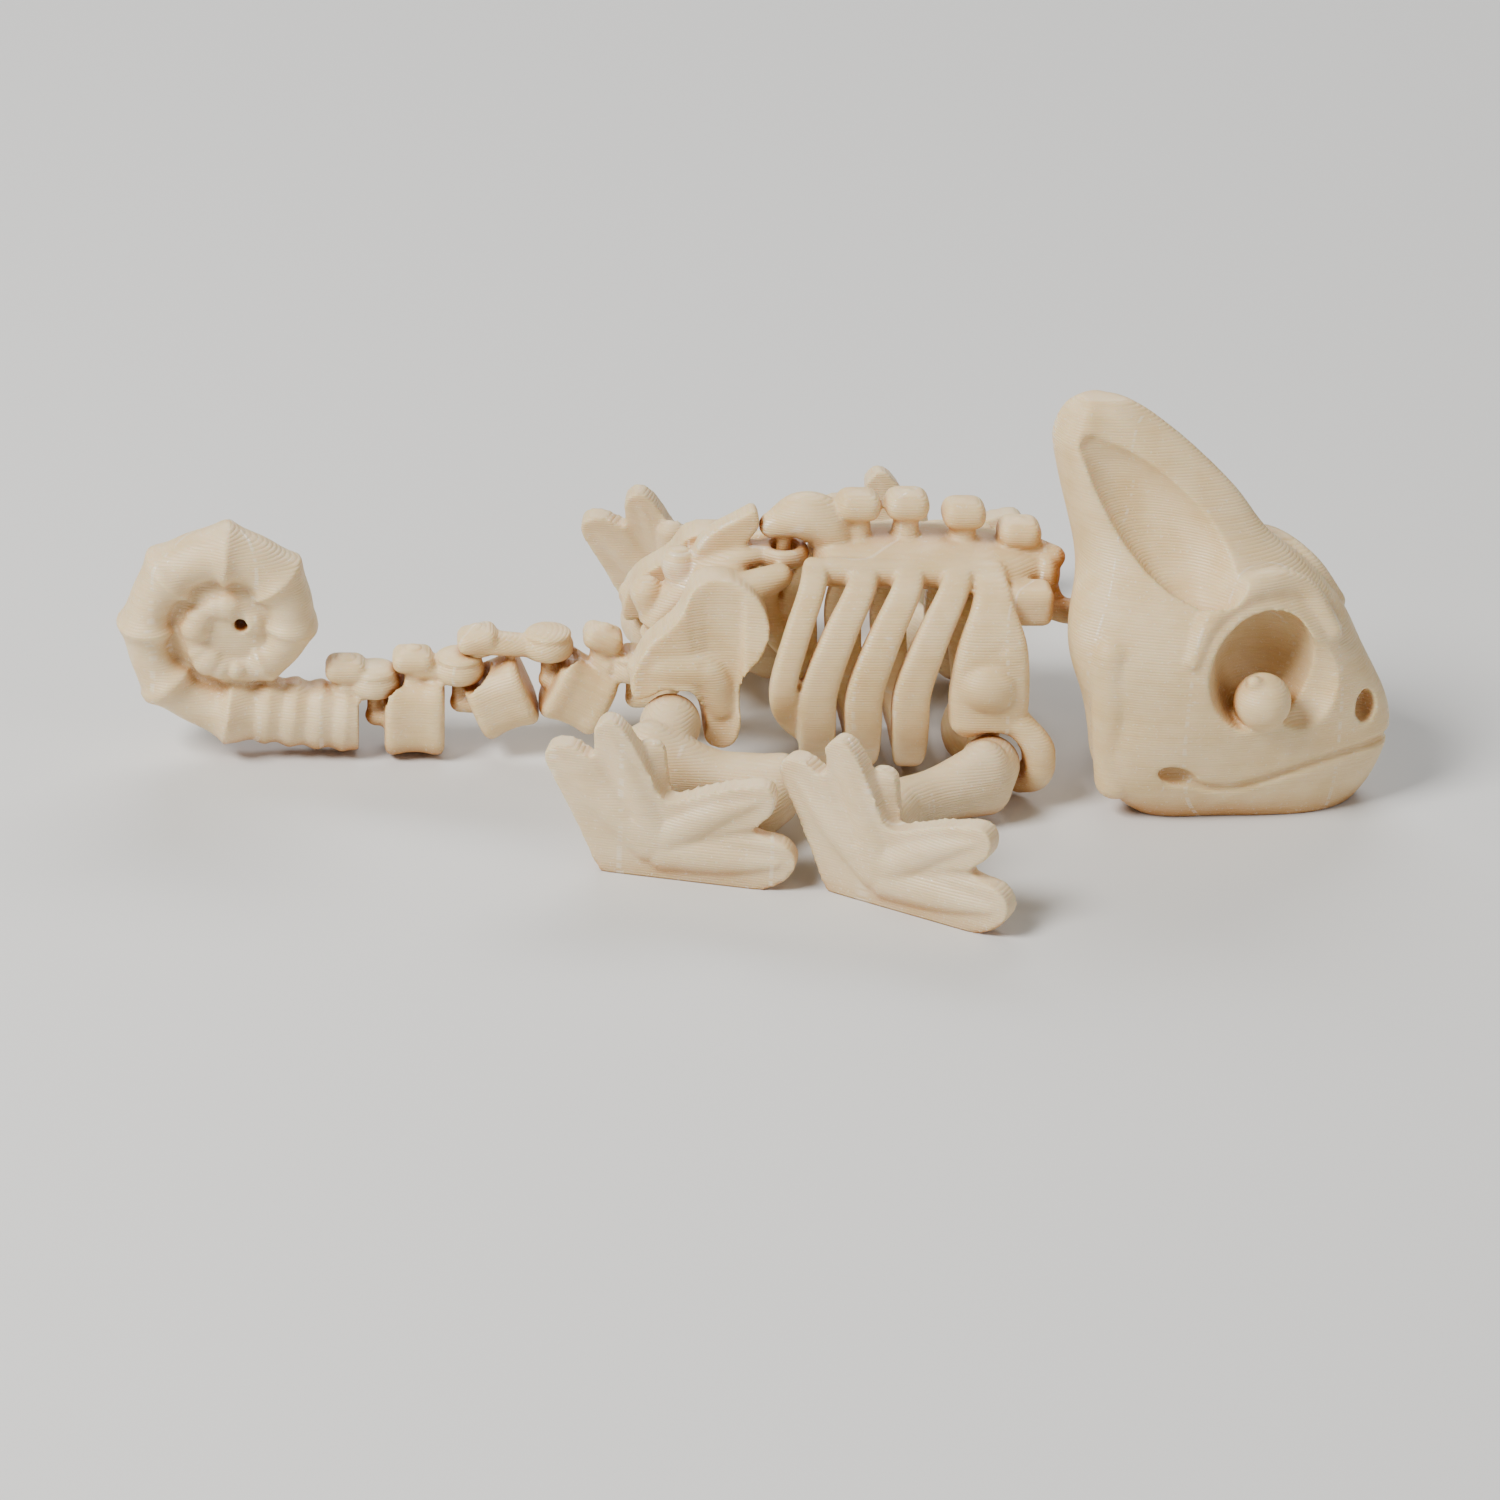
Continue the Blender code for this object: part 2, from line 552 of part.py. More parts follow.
def hinge_bore(hinge):
    """The upright hole through a ring, wide enough for the post and its clearance."""
    return cylinder((hinge[0], 0, hinge[1]), POST_RADIUS + CLEARANCE, 3.0)


def ring_pocket(hinge):
    """The room that a neighbour's ring turns in."""
    outer = RING_RADIUS + RING_HALF[0] + CLEARANCE
    return cylinder((hinge[0], 0, hinge[1]), outer, 2 * (RING_HALF[1] + CLEARANCE))


def cylinder(middle, radius, height):
    shape = bmesh.new()
    place = Matrix.Translation(middle)
    bmesh.ops.create_cone(
        shape, cap_ends=True, segments=28, radius1=radius, radius2=radius, depth=height, matrix=place
    )
    return mesh_object("cylinder", shape)


def make_tail_link(name, front_hinge):
    """A loose link: a rounded block, a knob, an arm and ring over the next link's post, and its own post."""
    (forward, up), pitch, length, height, (knob_forward, knob_top) = TAIL_LINKS[name]
    back_hinge = TAIL_HINGES[name]
    slope = math.radians(pitch)
    body = block((forward, 0, up), (length, 2 * LINK_HALF_WIDTH, height), pitch, 1.3)
    half = (1.45, 1.4, 0.85)
    cap = ball((knob_forward, 0, knob_top - half[2]), half, pitch=pitch * 0.6)
    top = Vector((forward + height / 2 * math.sin(slope), 0, up + height / 2 * math.cos(slope)))
    neck_foot = (knob_forward, 0, top.z - 1.4, 1.15)
    neck = tube([neck_foot, (knob_forward, 0, knob_top - half[2], 1.1)], up=(0, 1, 0))
    arm_start = (knob_forward + 0.4, 0, front_hinge[1] + 0.3, 1.2, 0.9)
    arm_end = (front_hinge[0] - RING_RADIUS, 0, front_hinge[1], 1.0, RING_HALF[1])
    arm = tube([arm_start, arm_end])
    eye = ring((front_hinge[0], 0, front_hinge[1]), RING_RADIUS, RING_HALF)
    low = back_hinge[1] - RING_HALF[1] - CLEARANCE - 1.5
    lug = tube([(forward - 0.6, 0, low, 1.2, 0.9), (back_hinge[0] + 0.1, 0, low, 0.9, 0.8)])
    post_top = (back_hinge[0], 0, back_hinge[1] + 1.1, POST_RADIUS)
    post = tube([(back_hinge[0], 0, low, POST_RADIUS), post_top], up=(0, 1, 0))
    cutters = [ring_pocket(back_hinge), hinge_bore(front_hinge)]
    pivot = (front_hinge[0], 0, front_hinge[1])
    return fuse(name, [body, cap, neck, arm, eye, lug], cutters, [post], triangles=420, pivot=pivot)


def coil_station(turn):
    """A station of the coil's tube at this many turns from the bottom, round by the tip of the tail."""
    quarter = min(max(4 * turn, 0.0), len(COIL_RADII) - 1.001)
    steps = 12
    rows = smooth_path(list(zip(COIL_RADII, COIL_THICK, COIL_WIDTH)), steps)
    radius, thick, width = rows[round(quarter * steps)]
    angle = -math.pi / 2 - 2 * math.pi * turn
    ridge = 1 - abs(math.sin(math.pi * COIL_RIDGES * turn))
    grow = COIL_RIDGE * ridge * min(1.0, (radius / COIL_RADII[0]) ** 2)
    at = (COIL_MIDDLE[0] + radius * math.cos(angle), 0, COIL_MIDDLE[1] + radius * math.sin(angle))
    return (*at, thick + grow, width + grow)


def coil_tube(start, end, before=()):
    """One length of the coil between two places, given in turns."""
    count = math.ceil((end - start) * 48)
    stations = [coil_station(turn) for turn in np.linspace(start, end, count)]
    return tube([*before, *stations], up=(0, 1, 0), steps=1)


def make_tail_coil():
    """The coiled end, in two lengths: the straight run with its hook, and the coil."""
    across = COIL_MIDDLE[0]
    hinge = TAIL_HINGES["tail_1"]
    half_gap = PART_GAP / 2
    overrun = 0.03
    knob_cap = ball((-30.0, 0, 7.5), (1.5, 1.4, 0.85))
    knob_neck = tube([(-30.0, 0, 4.0, 1.2), (-30.0, 0, 7.3, 1.15)], up=(0, 1, 0))
    arm = tube([(-30.0, 0, 5.4, 1.2, 0.9), (hinge[0] - RING_RADIUS, 0, hinge[1], 1.0, RING_HALF[1])])
    eye = ring((hinge[0], 0, hinge[1]), RING_RADIUS, RING_HALF)
    run = [(-29.6, 0, 2.75, 2.6, 2.6), (-31.4, 0, 2.95, 2.6, 2.6)]
    run += [(-33.4, 0, 3.1, 2.5, 2.6), (-35.6, 0, 3.4, 2.4, 2.6)]
    base = coil_tube(0.0, overrun, run)
    blunt = block((-26.4, 0, 2.0), (5.0, 12.0, 5.2))
    end = block((across + half_gap - 5, 0, 4), (10, 12, 12))
    pivot = (hinge[0], 0, hinge[1])
    cutters = [blunt, end, hinge_bore(hinge)]
    fuse("tail_base", [base, knob_cap, knob_neck, arm, eye], cutters, triangles=480, pivot=pivot)
    outer = coil_tube(-overrun, 1.0)
    inner = coil_tube(1.0 - overrun, COIL_TURNS)
    start = block((across - half_gap + 5, 0, 3.35), (10, 12, 6.7))
    fuse("tail_coil", [outer, inner], [start], triangles=760, pivot=pivot)


def foot_pieces(foot, yaw):
    """A grasping foot on its edge: a flat palm with two toes to the back and two to the front."""
    place = frame_at(foot, yaw)
    plane = place((0, 1, 0)) - place((0, 0, 0))
    pieces = []
    for stations in TOES.values():
        toe = []
        for along, up, half in stations:
            toe.append((*place((along, 0, up)), half, FOOT_HALF_THICK * min(1.0, 0.4 + half / 2)))
        pieces.append(tube(toe, up=plane))
    palm = ball(place((9.6, 0, 1.6)), (5.2, FOOT_HALF_THICK, 3.2), yaw)
    spur = [(*place((7.4, -1.2, 3.0)), 1.6, 1.2), (*place((7.0, -1.4, 8.9)), 1.1, 0.8)]
    return pieces + [palm, tube(spur, up=plane)]


def make_leg_hind():
    """The right hind leg: ball, thigh, knee and shin in one piece with its foot."""
    foot, yaw = HIND_FOOT
    palm = frame_at(foot, yaw)((8.4, -0.6, 2.8))
    thigh = [(-8.2, -10.8, 5.2, 2.3, 2.6), (-4.2, -11.6, 4.0, 1.9, 2.0), (-1.2, -12.2, 3.6, 1.9, 2.3)]
    thigh.append((0.9, -12.6, 3.3, 1.8, 2.9))
    shin = [(0.7, -12.8, 2.8, 1.9, 2.2), (-1.8, -16.0, 2.6, 1.8, 1.9), (*palm, 1.4, 1.9)]
    head = tube([(*HIP, LIMB_BALL_RADIUS), (-7.0, -9.6, 5.8, 2.1)])
    pieces = [tube(thigh), tube(shin), head, *foot_pieces(foot, yaw)]
    return fuse("leg_hind_right", pieces, triangles=900, pivot=HIP, on_floor=True)


def make_leg_front():
    """The right front leg, which bends at the elbow behind its foot."""
    foot, yaw = FRONT_FOOT
    palm = frame_at(foot, yaw)((8.4, -0.6, 2.8))
    arm = [(16.2, -11.0, 3.4, 2.0, 3.0), (12.4, -12.6, 2.8, 1.8, 2.1), (9.4, -14.4, 2.7, 1.9, 2.2)]
    lower = [(9.2, -14.8, 2.7, 2.0, 2.2), (8.0, -18.2, 2.6, 1.8, 2.0), (*palm, 1.4, 1.9)]
    head = tube([(*SHOULDER, LIMB_BALL_RADIUS), (16.4, -10.6, 3.6, 2.1)])
    pieces = [tube(arm), tube(lower), head, *foot_pieces(foot, yaw)]
    return fuse("leg_front_right", pieces, triangles=900, pivot=SHOULDER, on_floor=True)


for old in list(bpy.data.objects):
    bpy.data.objects.remove(old)
toy = bpy.data.collections.new("chameleon_skeleton_toy")
bpy.context.scene.collection.children.link(toy)

make_skull()
make_eye("eye_right", 1)
make_eye("eye_left", -1)
make_spine()
ribs = make_ribs()
mirrored("ribs_left", ribs, (0, 0, 0))
make_pelvis()
for link, front in (("tail_3", "pelvis"), ("tail_2", "tail_3"), ("tail_1", "tail_2")):
    make_tail_link(link, TAIL_HINGES[front])
make_tail_coil()
hind = make_leg_hind()
front = make_leg_front()
mirrored("leg_hind_left", hind, HIP, *LEFT_HIND_TURN)
mirrored("leg_front_left", front, SHOULDER, *LEFT_FRONT_TURN)
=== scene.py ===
import math
import bmesh
import bpy
import numpy as np
from mathutils import Matrix, Vector


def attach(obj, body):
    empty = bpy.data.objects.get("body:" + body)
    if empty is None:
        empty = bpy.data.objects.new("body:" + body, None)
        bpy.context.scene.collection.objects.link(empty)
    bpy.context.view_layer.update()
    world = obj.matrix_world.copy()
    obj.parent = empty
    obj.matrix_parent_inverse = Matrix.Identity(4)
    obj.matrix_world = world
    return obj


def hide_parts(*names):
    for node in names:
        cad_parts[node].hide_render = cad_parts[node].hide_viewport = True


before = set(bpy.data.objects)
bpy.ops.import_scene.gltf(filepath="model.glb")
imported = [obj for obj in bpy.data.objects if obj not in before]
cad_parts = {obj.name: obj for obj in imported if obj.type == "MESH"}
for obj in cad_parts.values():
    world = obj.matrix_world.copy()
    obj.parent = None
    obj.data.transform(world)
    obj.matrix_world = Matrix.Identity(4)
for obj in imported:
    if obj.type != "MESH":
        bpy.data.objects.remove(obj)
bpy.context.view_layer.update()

# Skull
# One hollow-eyed print in cream filament: a tall casque with a trough down each side, round orbits,
# a closed mouth line and a socket in the back for the neck ball. It printed upright on the flat of its jaw.
MM = 0.001
BOX_MIDDLE = (-0.18, -0.7)
JOINT_CLEARANCE = 0.38
SKULL_FOOT = (24.0, -2.0)
SKULL_YAW = -13.5
SKULL_LEVELS = [
    # height, back, three (forward, half width), front
    (-0.8, 4.6, (6.4, 6.0), (12.0, 5.2), (18.0, 3.4), 20.2),
    (1.2, 2.6, (4.4, 7.7), (11.5, 6.7), (18.6, 3.9), 21.6),
    (3.5, 1.2, (3.1, 8.8), (10.5, 7.9), (19.0, 4.2), 22.5),
    (6.0, 0.9, (2.5, 9.0), (10.5, 8.3), (19.2, 4.1), 22.9),
    (8.5, 0.2, (2.0, 8.6), (10.5, 8.5), (18.8, 4.2), 22.3),
    (12.0, -0.8, (0.7, 8.4), (10.0, 8.5), (17.2, 5.0), 20.3),
    (15.0, -0.7, (0.2, 7.2), (9.5, 7.7), (15.4, 5.2), 18.6),
    (18.0, -1.2, (1.2, 5.2), (7.5, 5.9), (12.6, 4.4), 15.7),
    (20.5, -1.9, (0.6, 4.1), (5.5, 4.1), (9.8, 2.8), 12.6),
    (23.5, -2.8, (-0.4, 3.4), (3.8, 3.0), (7.4, 1.9), 10.1),
    (26.5, -3.4, (-1.4, 2.8), (1.4, 2.3), (4.4, 1.6), 6.7),
    (28.6, -2.7, (-1.2, 2.0), (0.4, 1.8), (2.0, 1.4), 3.7),
    (29.5, -1.6, (-0.7, 1.1), (0.2, 1.0), (1.0, 0.8), 1.9),
]
ORBIT = (13.6, 12.2)
ORBIT_HALF = (3.95, 4.9)
ORBIT_FLOOR = 2.8
EYE = (13.6, 6.4, 9.8)
EYE_RADIUS = 2.1
NECK_BALL = (1.3, 0.0, 12.5)
NECK_BALL_RADIUS = 2.4
# forward, up and half thickness
BROW = [(8.4, 13.2, 0.7), (9.4, 16.0, 0.95), (12.4, 17.8, 1.1), (15.6, 17.0, 1.0), (18.0, 14.2, 0.8)]
# forward and up
CHEEK = [(3.6, 3.0), (3.0, 8.0), (2.6, 13.0)]
MOUTH = [(7.8, 4.3), (10.0, 3.2), (12.4, 3.1), (15.0, 3.8), (18.2, 4.7), (21.4, 5.2)]
MOUTH_HALF = (0.5, 0.42)
# forward, up, half width and half depth
TROUGH = [
    (-0.2, 26.7, 1.1, 1.3), (2.0, 24.8, 2.2, 2.1), (4.9, 22.2, 3.1, 2.6), (8.0, 19.8, 3.5, 2.4),
    (10.4, 18.0, 2.9, 1.1),
]


def smooth_path(stations, steps):
    """Rows of numbers on a Catmull-Rom curve through the stations."""
    rows = [np.array(station, float) for station in stations]
    rows = [2 * rows[0] - rows[1]] + rows + [2 * rows[-1] - rows[-2]]
    path = []
    for before, start, end, after in zip(rows, rows[1:], rows[2:], rows[3:]):
        for t in np.arange(steps) / steps:
            bend = (2 * before - 5 * start + 4 * end - after) * t**2
            twist = (3 * start - before - 3 * end + after) * t**3
            path.append((2 * start + (end - before) * t + bend + twist) / 2)
    path.append(rows[-2])
    return path


def mesh_object(name, shape):
    mesh = bpy.data.meshes.new(name)
    shape.to_mesh(mesh)
    shape.free()
    made = bpy.data.objects.new(name, mesh)
    bpy.context.scene.collection.objects.link(made)
    return made


def skin_rows(name, rows, closed=False):
    """A surface over rows of points, closed into a loop or capped at both ends."""
    shape = bmesh.new()
    made = [[shape.verts.new(point) for point in row] for row in rows]
    pairs = list(zip(made, made[1:] + made[:1])) if closed else list(zip(made, made[1:]))
    for row, other in pairs:
        for n in range(len(row)):
            after = (n + 1) % len(row)
            shape.faces.new((row[n], row[after], other[after], other[n]))
    if not closed:
        shape.faces.new(made[0][::-1])
        shape.faces.new(made[-1])
    bmesh.ops.recalc_face_normals(shape, faces=shape.faces)
    return mesh_object(name, shape)


def frame_at(foot, yaw):
    """A function from (forward, to the right, up) in a turned frame to the toy's own axes."""
    turn = Matrix.Rotation(math.radians(yaw), 3, "Z")

    def place(at):
        forward, right, up = at
        return Vector((foot[0], foot[1], 0.0)) + turn @ Vector((forward, -right, up))

    return place


def outline(level):
    """The smooth closed loop of (forward, out) through a level's back, widths and front."""
    steps = 12
    _, back, *widths, front = level
    left = [(forward, -half) for forward, half in reversed(widths)]
    loop = [(back, 0.0), *widths, (front, 0.0), *left]
    return smooth_path([loop[-1], *loop, *loop[:2]], steps)[steps : -steps - 1]


def flat_level(level):
    height, back, *widths, front = level
    return (height, back, *sum(widths, ()), front)


def full_level(row):
    height, back, *sizes, front = row
    return (height, back, *zip(sizes[0::2], sizes[1::2]), front)


def skull_side(forward, up):
    """How far out the side of the skull's plain form stands at this place."""
    rows = smooth_path([flat_level(level) for level in SKULL_LEVELS], 6)
    row = [np.interp(up, [row[0] for row in rows], column) for column in zip(*rows)]
    side = sorted((along, out) for along, out in outline(full_level(row)) if out >= 0)
    return float(np.interp(forward, *zip(*side)))


def ball(middle, half, yaw=0.0, pitch=0.0):
    """An ellipsoid. The pitch lowers its +X end, and the yaw then turns it to the left."""
    shape = bmesh.new()
    bmesh.ops.create_uvsphere(shape, u_segments=28, v_segments=16, radius=1.0)
    half = (half,) * 3 if isinstance(half, float) else half
    turn = Matrix.Rotation(math.radians(yaw), 4, "Z") @ Matrix.Rotation(math.radians(pitch), 4, "Y")
    place = Matrix.Translation(middle) @ turn @ Matrix.Diagonal((*half, 1.0))
    bmesh.ops.transform(shape, matrix=place, verts=shape.verts)
    return mesh_object("ball", shape)


def tube(stations, up=(0, 0, 1), sides=20, steps=6, corner=2.0):
    """A closed round-ended tube. Each station is x, y, z and the half size across and along up.

    A corner of 2 gives a round section, and more gives a squarer one.
    """
    stations = [(*row, row[3]) if len(row) == 4 else row for row in stations]
    path = smooth_path(stations, steps)
    points = [Vector(row[:3]) for row in path]
    rows = []

    def add_row(at, across, rise, half_across, half_rise):
        row = []
        for angle in np.linspace(0, 2 * math.pi, sides, endpoint=False):
            out, high = math.cos(angle), math.sin(angle)
            reach = (abs(out) ** corner + abs(high) ** corner) ** (-1 / corner)
            row.append(at + across * (half_across * out * reach) + rise * (half_rise * high * reach))
        rows.append(row)

    for n, row in enumerate(path):
        along = (points[min(n + 1, len(points) - 1)] - points[max(n - 1, 0)]).normalized()
        across = along.cross(Vector(up)).normalized()
        rise = across.cross(along)
        bulge = min(row[3], row[4])
        end = -1 if n == 0 else 1 if n == len(path) - 1 else 0
        angles = {-1: (78, 56, 34, 14, 0), 0: (0,), 1: (0, 14, 34, 56, 78)}[end]
        for angle in angles:
            shift = along * end * bulge * math.sin(math.radians(angle))
            shrink = math.cos(math.radians(angle))
            add_row(points[n] + shift, across, rise, row[3] * shrink, row[4] * shrink)
    return skin_rows("tube", rows)


def apply_modifiers(target):
    bpy.context.view_layer.update()
    graph = bpy.context.evaluated_depsgraph_get()
    mesh = bpy.data.meshes.new_from_object(target.evaluated_get(graph))
    target.modifiers.clear()
    target.data = mesh


def boolean(target, others, operation):
    """Joins the others to the target, or cuts them from it, and removes them."""
    group = bpy.data.collections.new("group")
    for other in others:
        group.objects.link(other)
    change = target.modifiers.new("boolean", "BOOLEAN")
    change.operation = operation
    change.operand_type = "COLLECTION"
    change.collection = group
    change.solver = "EXACT"
    apply_modifiers(target)
    for other in others:
        bpy.data.objects.remove(other)
    bpy.data.collections.remove(group)


def keep_largest(target):
    """Drops every closed surface but the one that reaches furthest."""
    shape = bmesh.new()
    shape.from_mesh(target.data)
    left = set(shape.verts)
    groups = []
    while left:
        reached = [left.pop()]
        for vert in reached:
            for edge in vert.link_edges:
                other = edge.other_vert(vert)
                if other in left:
                    left.remove(other)
                    reached.append(other)
        groups.append(reached)
    groups.sort(key=lambda group: np.prod(np.ptp(np.array([vert.co for vert in group]), axis=0)))
    for group in groups[:-1]:
        bmesh.ops.delete(shape, geom=group, context="VERTS")
    shape.to_mesh(target.data)
    shape.free()


def printed(name, pieces, cutters=(), added=(), grid=0.17, rounding=4):
    """One print: pieces joined, cutters taken away, added pieces joined, and all rounded as by the nozzle."""
    body, *others = pieces
    body.name = name
    for operation, tools in (("UNION", others), ("DIFFERENCE", list(cutters)), ("UNION", list(added))):
        if tools:
            boolean(body, tools, operation)
    voxels = body.modifiers.new("voxels", "REMESH")
    voxels.mode = "VOXEL"
    voxels.voxel_size = grid
    smooth = body.modifiers.new("smooth", "SMOOTH")
    smooth.iterations = rounding
    apply_modifiers(body)
    keep_largest(body)
    body.data.transform(Matrix.Translation((-BOX_MIDDLE[0], -BOX_MIDDLE[1], 0)))
    count = len(body.data.vertices)
    points = np.empty(count * 3)
    body.data.vertices.foreach_get("co", points)
    points = points.reshape(-1, 3)
    points[:, 2] = np.maximum(points[:, 2], 0.0)
    body.data.vertices.foreach_set("co", (points * MM).ravel())
    body.data.shade_smooth()
    return body


class Shade:
    """A socket of a material's nodes, on which ordinary arithmetic adds Math nodes."""

    def __init__(self, tree, socket=None):
        self.tree = tree
        self.socket = socket

    def node(self, kind, settings, inputs, output=0):
        """Any node: its settings first, then the values or links of its sockets."""
        made = self.tree.nodes.new(kind)
        for key, value in settings.items():
            setattr(made, key, value)
        for key, value in inputs.items():
            if isinstance(value, Shade):
                self.tree.links.new(value.socket, made.inputs[key])
            else:
                made.inputs[key].default_value = value
        return Shade(self.tree, made.outputs[output])

    def math(self, operation, *values):
        return self.node("ShaderNodeMath", {"operation": operation}, dict(enumerate(values)))

    def __add__(self, other):
        return self.math("ADD", self, other)

    def __sub__(self, other):
        return self.math("SUBTRACT", self, other)

    def __rsub__(self, other):
        return self.math("SUBTRACT", other, self)

    def __mul__(self, other):
        return self.math("MULTIPLY", self, other)

    __radd__ = __add__
    __rmul__ = __mul__

    def between(self, low, high):
        """0 below low, 1 above high and a soft step between."""
        settings = {"interpolation_type": "SMOOTHSTEP"}
        return self.node("ShaderNodeMapRange", settings, {0: self, 1: low, 2: high})

    def blend(self, first, second):
        """The first colour where this is 0, the second where it is 1."""
        return self.node("ShaderNodeMix", {"data_type": "RGBA"}, {0: self, 6: first, 7: second}, output=2)


LAYER = 0.0002
FILAMENT = (0.86, 0.67, 0.39, 1.0)
FILAMENT_DEEP = (0.78, 0.57, 0.29, 1.0)
# Painted shade: the orange-brown colour put into crevices, recesses and gaps between parts.
CREVICE_PAINTED_SHADE = (0.45, 0.18, 0.03, 1.0)
GREYED = (0.66, 0.60, 0.48, 1.0)
# Painted highlight: the near-white colour of the glints on specks and seam dots.
PAINTED_GLINT = (0.98, 0.93, 0.82, 1.0)
PAINTED_SHADE_REACH = 0.0035
GLOW_DEPTH = 0.0014
LAYER_RELIEF = 0.00005


def filament(name, tilt=0.0, greyed=0.0):
    """Cream filament with its layers, fine sparkle with painted highlights on its specks and seam dots, a
    subsurface glow in thick walls, and painted orange shade in crevices and gaps.
    """
    material = bpy.data.materials.new(name)
    material.use_nodes = True
    tree = material.node_tree
    skin = tree.nodes["Principled BSDF"]
    shade = Shade(tree)
    place = shade.node("ShaderNodeTexCoord", {}, {}, output=3)
    lean = math.radians(tilt)
    rise = (math.sin(lean), 0.0, math.cos(lean))
    height = shade.node("ShaderNodeVectorMath", {"operation": "DOT_PRODUCT"}, {0: place, 1: rise}, output=1)
    layer = height * (1 / LAYER)
    bead = shade.math("ABSOLUTE", shade.math("SINE", layer * math.pi))
    number = shade.math("FLOOR", layer)
    shift = shade.node("ShaderNodeTexWhiteNoise", {"noise_dimensions": "1D"}, {"W": number})
    grain = shade.node("ShaderNodeTexNoise", {}, {"Vector": place, "Scale": 4200.0, "Detail": 1.0})
    cloud = shade.node("ShaderNodeTexNoise", {}, {"Vector": place, "Scale": 420.0, "Detail": 2.0})
    flat = shade.node("ShaderNodeVectorMath", {"operation": "MULTIPLY"}, {0: place, 1: (1.0, 1.0, 0.0)})
    curtain = shade.node("ShaderNodeTexNoise", {}, {"Vector": flat, "Scale": 95.0, "Detail": 0.0})
    seam = 1 - shade.math("ABSOLUTE", curtain - 0.5).between(0.003, 0.009)
    # Fine specks and dotted seam lines. They lower the roughness and raise the bump, and they also carry
    # painted highlights in the colour.
    glint_specks = shade.math("MAXIMUM", grain.between(0.66, 0.72), seam * shift.between(0.45, 0.55))
    # Painted shade: an ambient occlusion mask turns the colour orange-brown in crevices and gaps between
    # parts.
    ambient_occlusion = shade.node("ShaderNodeAmbientOcclusion", {"samples": 4}, {"Distance": PAINTED_SHADE_REACH}, output=1)
    depth = (1 - ambient_occlusion).between(0.22, 0.9)
    tone = (cloud * 0.88 + shift * 0.12).between(0.3, 0.75)
    colour = tone.blend(FILAMENT, FILAMENT_DEEP)
    if greyed:
        settings = {"data_type": "RGBA"}
        colour = shade.node("ShaderNodeMix", settings, {0: greyed, 6: colour, 7: GREYED}, output=2)
    colour = depth.blend(colour, CREVICE_PAINTED_SHADE)
    # Painted highlight: the specks and seam dots are lightened towards near white.
    colour = (glint_specks * 0.35).blend(colour, PAINTED_GLINT)
    tree.links.new(colour.socket, skin.inputs["Base Color"])
    gloss = 0.42 - glint_specks * 0.2 + cloud * 0.08
    tree.links.new(gloss.socket, skin.inputs["Roughness"])
    relief = bead * 0.8 + shift * 0.14 + grain * 0.2 + glint_specks * 0.5
    bump = shade.node("ShaderNodeBump", {}, {"Height": relief, "Strength": 0.6, "Distance": LAYER_RELIEF})
    tree.links.new(bump.socket, skin.inputs["Normal"])
    skin.inputs["Subsurface Weight"].default_value = 0.3
    skin.inputs["Subsurface Radius"].default_value = (1.0, 0.55, 0.22)
    skin.inputs["Subsurface Scale"].default_value = GLOW_DEPTH
    skin.inputs["IOR"].default_value = 1.46
    return material


def finish_piece(piece, body, nodes, material):
    """Gives the piece its filament, and puts it in place of the CAD nodes on their body."""
    piece.data.materials.clear()
    piece.data.materials.append(material)
    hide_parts(*nodes)
    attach(piece, body)


